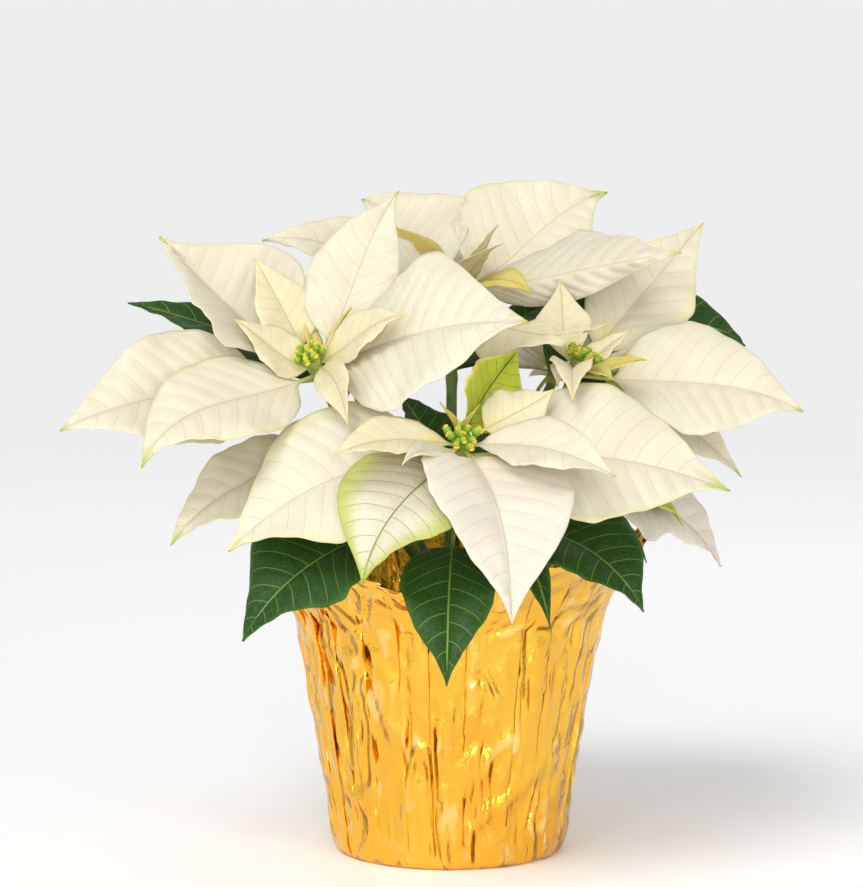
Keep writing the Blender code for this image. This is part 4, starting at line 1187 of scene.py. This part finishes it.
def settle_normals(mesh):
    """Merges doubles and turns every face outwards."""
    work = bmesh.new()
    work.from_mesh(mesh)
    bmesh.ops.remove_doubles(work, verts=work.verts, dist=.000002)
    bmesh.ops.recalc_face_normals(work, faces=work.faces)
    work.to_mesh(mesh)
    work.free()


def mesh_from(name, points, faces, materials, smooth_shaded=True):
    mesh = bpy.data.meshes.new(name)
    mesh.from_pydata((np.asarray(points, float) * MM).tolist(), [], faces)
    mesh.polygons.foreach_set("use_smooth", [smooth_shaded] * len(faces))
    for material in materials:
        mesh.materials.append(material)
    return mesh


def fitted(obj, node):
    """Puts a finished piece on the plant's one body, in the place of a node."""
    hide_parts(node)
    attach(obj, "root")


# Settings

def colour(name, description, default):
    return FloatVectorProperty(name=name, description=description, subtype="COLOR", size=3, min=0, max=1,
                               default=default)


def length(name, description, default, **limits):
    return FloatProperty(name=name, description=description + ", in millimetres", default=default, **limits)


class FoilSettings(bpy.types.PropertyGroup):
    """Size and colour of the gold foil cover."""

    pleats: IntProperty(name="Pleats", description="Pleats round the cover", default=26, min=8)
    depth: length("Pleat depth", "Height of a pleat", 2.2, min=0)
    skirt_radius: length("Skirt radius", "Mean radius of the skirt's edge", 102.5)
    skirt_height: length("Skirt height", "Mean height of the skirt's edge", 162)
    emboss: FloatProperty(name="Emboss", description="Share of the full pressed relief", default=1, min=0)
    thickness: length("Thickness", "Thickness of the foil", .5, min=.1)
    gold: colour("Gold", "Colour of the foil", (.90, .50, .035))


class BladeSettings(bpy.types.PropertyGroup):
    """Fineness and relief of the bracts and leaves."""

    pitch: length("Pitch", "Spacing of a blade's mesh", 2.3, min=1)
    thickness: length("Thickness", "Thickness of a blade beside its rib", .55)
    rib: length("Rib", "Height of the rib on the underside", .9)
    puff: length("Puff", "Height of the blade between its side veins", 1.0)
    groove: length("Groove", "Depth of the midrib's groove", .7)
    swell: length("Swell", "Height of the slow waves over a blade", .9)
    bow: FloatProperty(name="Bow", description="Rise of each half of a blade, as a share of it", default=.16)


class PlantColours(bpy.types.PropertyGroup):
    """Colours of the bracts, leaves, stems and buds."""

    cream: colour("Cream", "Full-grown bracts", (.69, .64, .505))
    white: colour("White", "The palest bracts", (.70, .645, .55))
    ivory: colour("Ivory", "Small inner bracts and the base of large ones", (.71, .64, .43))
    yellow: colour("Yellow", "The smallest bracts", (.66, .56, .17))
    lemon: colour("Lemon", "Edges that are still greenish yellow", (.66, .635, .28))
    lime: colour("Lime", "Green tips and edges", (.42, .47, .03))
    # This colour and Shade below are painted shade: they darken the bract undersides and the one bract that
    # lies in shade, not colours the bracts have
    shade_olive: colour("Olive", "Bracts that grow in deep shade", (.46, .35, .08))
    shade: colour("Shade", "Undersides of the bracts", (.66, .59, .40))
    tan: colour("Tan", "Veins of the cream bracts", (.40, .34, .17))
    vein_green: colour("Vein green", "Veins of a bract that is half leaf", (.16, .25, .01))
    leaf_green: colour("Leaf green", "Upper side of the leaves", (.015, .062, .006))
    leaf_rim: colour("Leaf rim", "Edge and tip of the leaves", (.045, .13, .010))
    leaf_under: colour("Leaf underside", "Underside of the leaves", (.10, .19, .06))
    leaf_vein: colour("Leaf vein", "Veins of the leaves", (.20, .30, .05))
    stalk: colour("Stalk", "Petioles", (.40, .46, .08))
    stem: colour("Stem", "Green branches", (.14, .24, .03))
    bark: colour("Bark", "Woody trunk", (.22, .17, .08))
    bud: colour("Bud", "Cyathia", (.22, .40, .02))
    gland: colour("Gland", "Nectar glands", (.85, .55, .02))
    stamen: colour("Stamen", "Stamens on the buds", (.80, .62, .05))


class PotSettings(bpy.types.PropertyGroup):
    """Colours and grain of the pot and what fills it."""

    plastic: colour("Plastic", "Colour of the nursery pot", (.05, .035, .03))
    peat: colour("Peat", "Colour of the growing medium", (.045, .026, .015))
    crumb_density: FloatProperty(name="Crumbs", description="Peat crumbs on a square metre", default=90000)
    perlite_density: FloatProperty(name="Perlite", description="Grains on a square metre", default=9000)
    roughness: length("Unevenness", "Height of the peat's bumps", 1.1)


class StudioSettings(bpy.types.PropertyGroup):
    """Floor, light and camera."""

    floor: colour("Floor", "Colour of the floor", (.97, .97, .97))
    key: FloatProperty(name="Key light", description="Power of the main light, in watts", default=5)
    fill: FloatProperty(name="Fill light", description="Power of the fill light, in watts", default=2.5)
    glint: FloatProperty(name="Glint", description="Power of the light that the foil mirrors", default=5)
    sun: FloatProperty(name="Sun", description="Strength of the soft light from above", default=1.35)
    sky: FloatProperty(name="Sky", description="Strength of the surrounding light", default=.92)
    lens: FloatProperty(name="Lens", description="Focal length, in millimetres", default=112.74)


# Operators

class POINSETTIA_OT_foil_cover(bpy.types.Operator):
    """Make the pleated gold foil cover"""

    bl_idname = "poinsettia.foil_cover"
    bl_label = "Foil cover"

    def execute(self, context):
        s = context.scene.poinsettia_foil
        empty = bpy.data.meshes.new("gold_foil_cover")
        mesh = foil_grower().grown("gold_foil_cover", empty, {
            "Pleats": s.pleats, "Depth": s.depth, "Emboss": s.emboss,
            "Skirt Radius": s.skirt_radius, "Skirt Height": s.skirt_height,
            "Columns": s.pleats * FOIL_COLUMNS_PER_PLEAT + 1, "Rows": FOIL_ROWS,
            "Material": foil_material(s.gold[:]),
        })
        guide = linked("foil_wall_guide", mesh)
        wall = guide.modifiers.new("wall", "SOLIDIFY")
        wall.thickness = s.thickness * MM
        wall.offset = 1
        cover = linked("gold_foil_cover", plain_mesh(guide))
        bpy.data.objects.remove(guide)
        fitted(cover, "foil_cover")
        return {"FINISHED"}


class POINSETTIA_OT_nursery_pot(bpy.types.Operator):
    """Make the plastic nursery pot with its rim and drain holes"""

    bl_idname = "poinsettia.nursery_pot"
    bl_label = "Nursery pot"

    def execute(self, context):
        s = context.scene.poinsettia_pot
        points, faces = lathe(POT_SIDE, POT_STEPS)
        mesh = mesh_from("pot_guide", points, faces, [plastic_material(s.plastic[:])])
        settle_normals(mesh)
        guide = linked("pot_guide", mesh)
        drills = []
        for i in range(DRAIN_HOLES):
            angle = TAU * i / DRAIN_HOLES
            drill = bpy.data.meshes.new("drill")
            work = bmesh.new()
            middle = DRAIN_RING * math.cos(angle), DRAIN_RING * math.sin(angle), DRAIN_HEIGHT
            bmesh.ops.create_cone(work, cap_ends=True, segments=32, radius1=DRAIN_RADIUS * MM,
                                  radius2=DRAIN_RADIUS * MM, depth=DRAIN_DEPTH * MM,
                                  matrix=Matrix.Translation(Vector(middle) * MM))
            work.to_mesh(drill)
            work.free()
            drills.append(linked(f"drill_{i}", drill))
            cut = guide.modifiers.new(f"drain_{i}", "BOOLEAN")
            cut.operation = "DIFFERENCE"
            cut.object = drills[-1]
        pot = linked("brown_nursery_pot", plain_mesh(guide))
        for helper in (guide, *drills):
            bpy.data.objects.remove(helper)
        pot.data.polygons.foreach_set("use_smooth", [True] * len(pot.data.polygons))
        pot.data.set_sharp_from_angle(angle=math.radians(40))
        fitted(pot, "nursery_pot")
        return {"FINISHED"}


class POINSETTIA_OT_growing_medium(bpy.types.Operator):
    """Make the peat with its crumbs and perlite"""

    bl_idname = "poinsettia.growing_medium"
    bl_label = "Growing medium"

    def execute(self, context):
        s = context.scene.poinsettia_pot
        draw = np.random.default_rng(SEED)
        radii = np.linspace(TRUNK_RADIUS + .6, SOIL_RADIUS, SOIL_RINGS)
        angles = np.arange(SOIL_SEGMENTS) * TAU / SOIL_SEGMENTS
        rings = [circle_at(TRUNK_HOLE, z, SOIL_SEGMENTS) for z in (TRUNK_FOOT - GAP, HOLE_TOP)]
        for radius in radii:
            rough = s.roughness * draw.uniform(-1, 1, SOIL_SEGMENTS) * smooth(SOIL_RADIUS, 67, radius)
            slow = np.sin(angles * 3 + radius * .1) * .8 * smooth(SOIL_RADIUS, 57, radius)
            height = SOIL_HEIGHT - 1.2 * smooth(64, SOIL_RADIUS, radius) + rough + slow
            rings.append(circle_at(radius, height, SOIL_SEGMENTS))
        for radius, height in SOIL_SIDE[:-1]:
            rings.append(circle_at(radius, height, SOIL_SEGMENTS))
        faces = ring_faces(len(rings), SOIL_SEGMENTS)
        peat = peat_material(s.peat[:])
        mesh = mesh_from("peat_bed", np.concatenate(rings), faces, [peat])
        settle_normals(mesh)
        crumbs = crumbs_grower()
        layers = [mesh]
        for title, density, sizes, seed, material in (
            ("crumbs", s.crumb_density, (.0005, .0016), SEED, peat),
            ("perlite", s.perlite_density, (.0007, .0017), SEED + 5, perlite_material()),
        ):
            values = {
                "Density": density, "Smallest": sizes[0], "Largest": sizes[1], "Seed": seed,
                "Material": material,
            }
            layers.append(crumbs.grown(title, mesh.copy(), values))
        bed = one_mesh("peat_and_perlite", layers)
        fitted(bed, "growing_medium")
        return {"FINISHED"}


def one_mesh(name, layers):
    """One object from several meshes, each with its own materials."""
    work = bmesh.new()
    materials = []
    for layer in layers:
        start = len(work.faces)
        work.from_mesh(layer)
        work.faces.ensure_lookup_table()
        places = {}
        for i, material in enumerate(layer.materials):
            if material not in materials:
                materials.append(material)
            places[i] = materials.index(material)
        for face in work.faces[start:]:
            face.material_index = places.get(face.material_index, 0)
    mesh = bpy.data.meshes.new(name)
    work.to_mesh(mesh)
    work.free()
    for material in materials:
        mesh.materials.append(material)
    return linked(name, mesh)


class POINSETTIA_OT_trunk(bpy.types.Operator):
    """Make the woody trunk and the stubs of its branches"""

    bl_idname = "poinsettia.trunk"
    bl_label = "Trunk"

    def execute(self, context):
        colours = context.scene.poinsettia_colours
        draw = np.random.default_rng(SEED)
        skin = Skin()
        t = np.linspace(0, 1, 60)
        points = np.column_stack([np.zeros(60), np.zeros(60), TRUNK_FOOT + (TRUNK_TOP - TRUNK_FOOT) * t])
        knots = TRUNK_RADIUS - .35 * t + .25 * np.sin(t * 31) + .2 * np.sin(t * 13 + 1)
        radii = knots[:, None] * (1 + .02 * draw.uniform(-1, 1, (60, 36)))
        skin.add(swept(points, path_of(points), np.minimum(radii, 6.15), 36), ring_faces(60, 36))
        for name in HEADS:
            ends, ways = branch(name, [0])
            end = ends[0] - ways[0] * GAP
            start = np.array((end[0] * .3, end[1] * .3, TRUNK_TOP - 5))
            t = np.linspace(0, 1, 16)
            handle = end - ways[0] * 5
            points, along = bezier(start, handle, handle, end, t)
            radii = (STUB_RADIUS + .2 - .2 * t)[:, None] * (1 + .02 * draw.uniform(-1, 1, (16, 24)))
            skin.add(swept(points, along, radii, 24), ring_faces(16, 24))
        bark = stem_material("young_bark", colours.bark[:], [c * .45 for c in colours.bark[:]], 240.0)
        fitted(skin.made("woody_trunk", [bark]), "trunk")
        return {"FINISHED"}


class POINSETTIA_OT_branches(bpy.types.Operator):
    """Make the green branches and their leaves"""

    bl_idname = "poinsettia.branches"
    bl_label = "Branches and leaves"

    def execute(self, context):
        colours = context.scene.poinsettia_colours
        stem = stem_material("green_stem", colours.stem[:], [c * .5 for c in colours.stem[:]], 180.0)
        leaf = blade_material("leaf_skin", .5, .05, .22)
        pale = blade_material("pale_leaf_skin", .5, .3, .3)
        for name in HEADS:
            skin = Skin()
            add_stem(skin, name, 0)
            for b in LEAVES[name]:
                green = LOOKS.get(f"{name}_{b['name']}", "leaf") == "leaf"
                add_blade(skin, name, b, "leaf", 1 if green else 2)
            fitted(skin.made(f"leafy_branch_{name}", [stem, leaf, pale]), f"branch_{name}")
        return {"FINISHED"}


class POINSETTIA_OT_bracts(bpy.types.Operator):
    """Make the whorls of cream bracts"""

    bl_idname = "poinsettia.bracts"
    bl_label = "Bracts"

    def execute(self, context):
        colours = context.scene.poinsettia_colours
        stem = stem_material("flower_stem", colours.stalk[:], colours.stem[:], 180.0)
        bract = blade_material("bract_skin", .5, .35, .3)
        for name in HEADS:
            skin = Skin()
            add_hub(skin, name, 0)
            for b in BRACTS[name]:
                add_blade(skin, name, b, "cream", 1)
            fitted(skin.made(f"whorl_of_bracts_{name}", [stem, bract]), f"bracts_{name}")
        return {"FINISHED"}


class POINSETTIA_OT_cyathia(bpy.types.Operator):
    """Make the clusters of buds"""

    bl_idname = "poinsettia.cyathia"
    bl_label = "Cyathia"

    buds: IntProperty(name="Buds", description="Buds in a cluster", default=11, min=2)

    def execute(self, context):
        colours = context.scene.poinsettia_colours
        skin = bud_material()
        grower = bud_grower()
        for i, name in enumerate(HEADS):
            top, facing = head(name)
            foot = top + facing * GAP
            stand = Matrix.Translation(Vector((foot + facing * DISC_THICK) * MM))
            stand = stand @ Vector(facing).to_track_quat("Z", "Y").to_matrix().to_4x4()
            cluster = grower.grown(f"buds_{name}", bpy.data.meshes.new("buds"), {
                "Buds": self.buds, "Seed": SEED + i, "Green": (*colours.bud, 1), "Gland": (*colours.gland, 1),
                "Stamen": (*colours.stamen, 1), "Material": skin,
            })
            cluster.transform(stand)
            t = np.linspace(0, 1, 8)
            radii = DISC_RADIUS * (.84 + .16 * np.sin(t * math.pi * .8))
            points = foot + facing * DISC_THICK * t[:, None]
            turned_disc = swept(points, np.tile(facing, (8, 1)), radii, 24)
            disc = mesh_from("disc", turned_disc, ring_faces(8, 24), [skin])
            tint = disc.attributes.new("tint", "FLOAT_COLOR", "POINT")
            tint.data.foreach_set("color", [*colours.bud, 1] * len(disc.vertices))
            fitted(one_mesh(f"bud_cluster_{name}", [cluster, disc]), f"cyathia_{name}")
        return {"FINISHED"}


class POINSETTIA_OT_studio(bpy.types.Operator):
    """Make the floor, the soft lights and the camera"""

    bl_idname = "poinsettia.studio"
    bl_label = "Studio"

    def execute(self, context):
        s = context.scene.poinsettia_studio
        mesh = bpy.data.meshes.new("studio_floor")
        work = bmesh.new()
        bmesh.ops.create_circle(work, cap_ends=True, segments=96, radius=40)
        work.to_mesh(mesh)
        work.free()
        mesh.materials.append(floor_material(s.floor[:]))
        linked("studio_floor", mesh)
        for name, place, size, power in (
            ("key_light", (-.55, -1.5, .95), .5, s.key),
            ("fill_light", (.95, -1.35, .6), .4, s.fill),
            ("back_light", (.5, 1.4, 1.5), .8, s.fill),
            ("glint_light", (.10, -1.45, .40), .34, s.glint),
        ):
            light = bpy.data.lights.new(name, "AREA")
            light.energy = power
            light.size = size
            lamp = bpy.data.objects.new(name, light)
            lamp.location = place
            lamp.rotation_mode = "QUATERNION"
            lamp.rotation_quaternion = (Vector((0, 0, .2)) - Vector(place)).to_track_quat("-Z", "Y")
            context.scene.collection.objects.link(lamp)
        sun = bpy.data.lights.new("soft_sun", "SUN")
        sun.energy = s.sun
        sun.angle = math.radians(30)
        lamp = bpy.data.objects.new("soft_sun", sun)
        lamp.rotation_mode = "QUATERNION"
        lamp.rotation_quaternion = Vector((.38, .50, -.90)).to_track_quat("-Z", "Y")
        context.scene.collection.objects.link(lamp)
        world = bpy.data.worlds.new("studio_sky")
        world.use_nodes = True
        tree = world.node_tree
        x, y, z = parts_of(add_node(tree, "ShaderNodeTexCoord", "Generated"))
        sky = blend(tree, z.step(.06, .20), (.93, .93, .93), (1.0, 1.0, 1.0))
        sky = blend(tree, z.step(.22, .8), sky, (.44, .44, .45))
        plug(tree, tree.nodes["Background"].inputs["Color"], sky)
        tree.nodes["Background"].inputs["Strength"].default_value = s.sky
        context.scene.world = world
        context.scene.view_settings.view_transform = "Standard"
        camera = bpy.data.cameras.new("camera")
        camera.lens = s.lens
        camera.sensor_width = 36
        camera.clip_end = 100
        eye = bpy.data.objects.new("camera", camera)
        eye.location = (-.0095, -1.5, .3333)
        eye.rotation_euler = (math.radians(90 - 4.3), 0, 0)
        context.scene.collection.objects.link(eye)
        context.scene.camera = eye
        return {"FINISHED"}


class POINSETTIA_PT_panel(bpy.types.Panel):
    """The plant's pieces and settings"""

    bl_label = "White poinsettia"
    bl_space_type = "VIEW_3D"
    bl_region_type = "UI"
    bl_category = "Poinsettia"

    def draw(self, context):
        layout = self.layout
        for operator in OPERATORS:
            layout.operator(operator.bl_idname)
        for title in SETTINGS:
            box = layout.box()
            box.label(text=title.replace("_", " ").capitalize())
            group = getattr(context.scene, title)
            for field in group.bl_rna.properties:
                if not field.is_readonly and field.identifier != "name":
                    box.prop(group, field.identifier)


OPERATORS = (
    POINSETTIA_OT_foil_cover, POINSETTIA_OT_nursery_pot, POINSETTIA_OT_growing_medium, POINSETTIA_OT_trunk,
    POINSETTIA_OT_branches, POINSETTIA_OT_bracts, POINSETTIA_OT_cyathia, POINSETTIA_OT_studio,
)
SETTINGS = {
    "poinsettia_foil": FoilSettings, "poinsettia_blades": BladeSettings, "poinsettia_colours": PlantColours,
    "poinsettia_pot": PotSettings, "poinsettia_studio": StudioSettings,
}


def register():
    for group in SETTINGS.values():
        bpy.utils.register_class(group)
    for name, group in SETTINGS.items():
        setattr(bpy.types.Scene, name, PointerProperty(type=group))
    for operator in OPERATORS:
        bpy.utils.register_class(operator)
    bpy.utils.register_class(POINSETTIA_PT_panel)


def unregister():
    bpy.utils.unregister_class(POINSETTIA_PT_panel)
    for operator in reversed(OPERATORS):
        bpy.utils.unregister_class(operator)
    for name, group in reversed(SETTINGS.items()):
        delattr(bpy.types.Scene, name)
        bpy.utils.unregister_class(group)


def main():
    register()
    bpy.ops.poinsettia.foil_cover()
    bpy.ops.poinsettia.nursery_pot()
    bpy.ops.poinsettia.growing_medium()
    bpy.ops.poinsettia.trunk()
    bpy.ops.poinsettia.branches()
    bpy.ops.poinsettia.bracts()
    bpy.ops.poinsettia.cyathia()
    bpy.ops.poinsettia.studio()


if __name__ == "__main__":
    main()
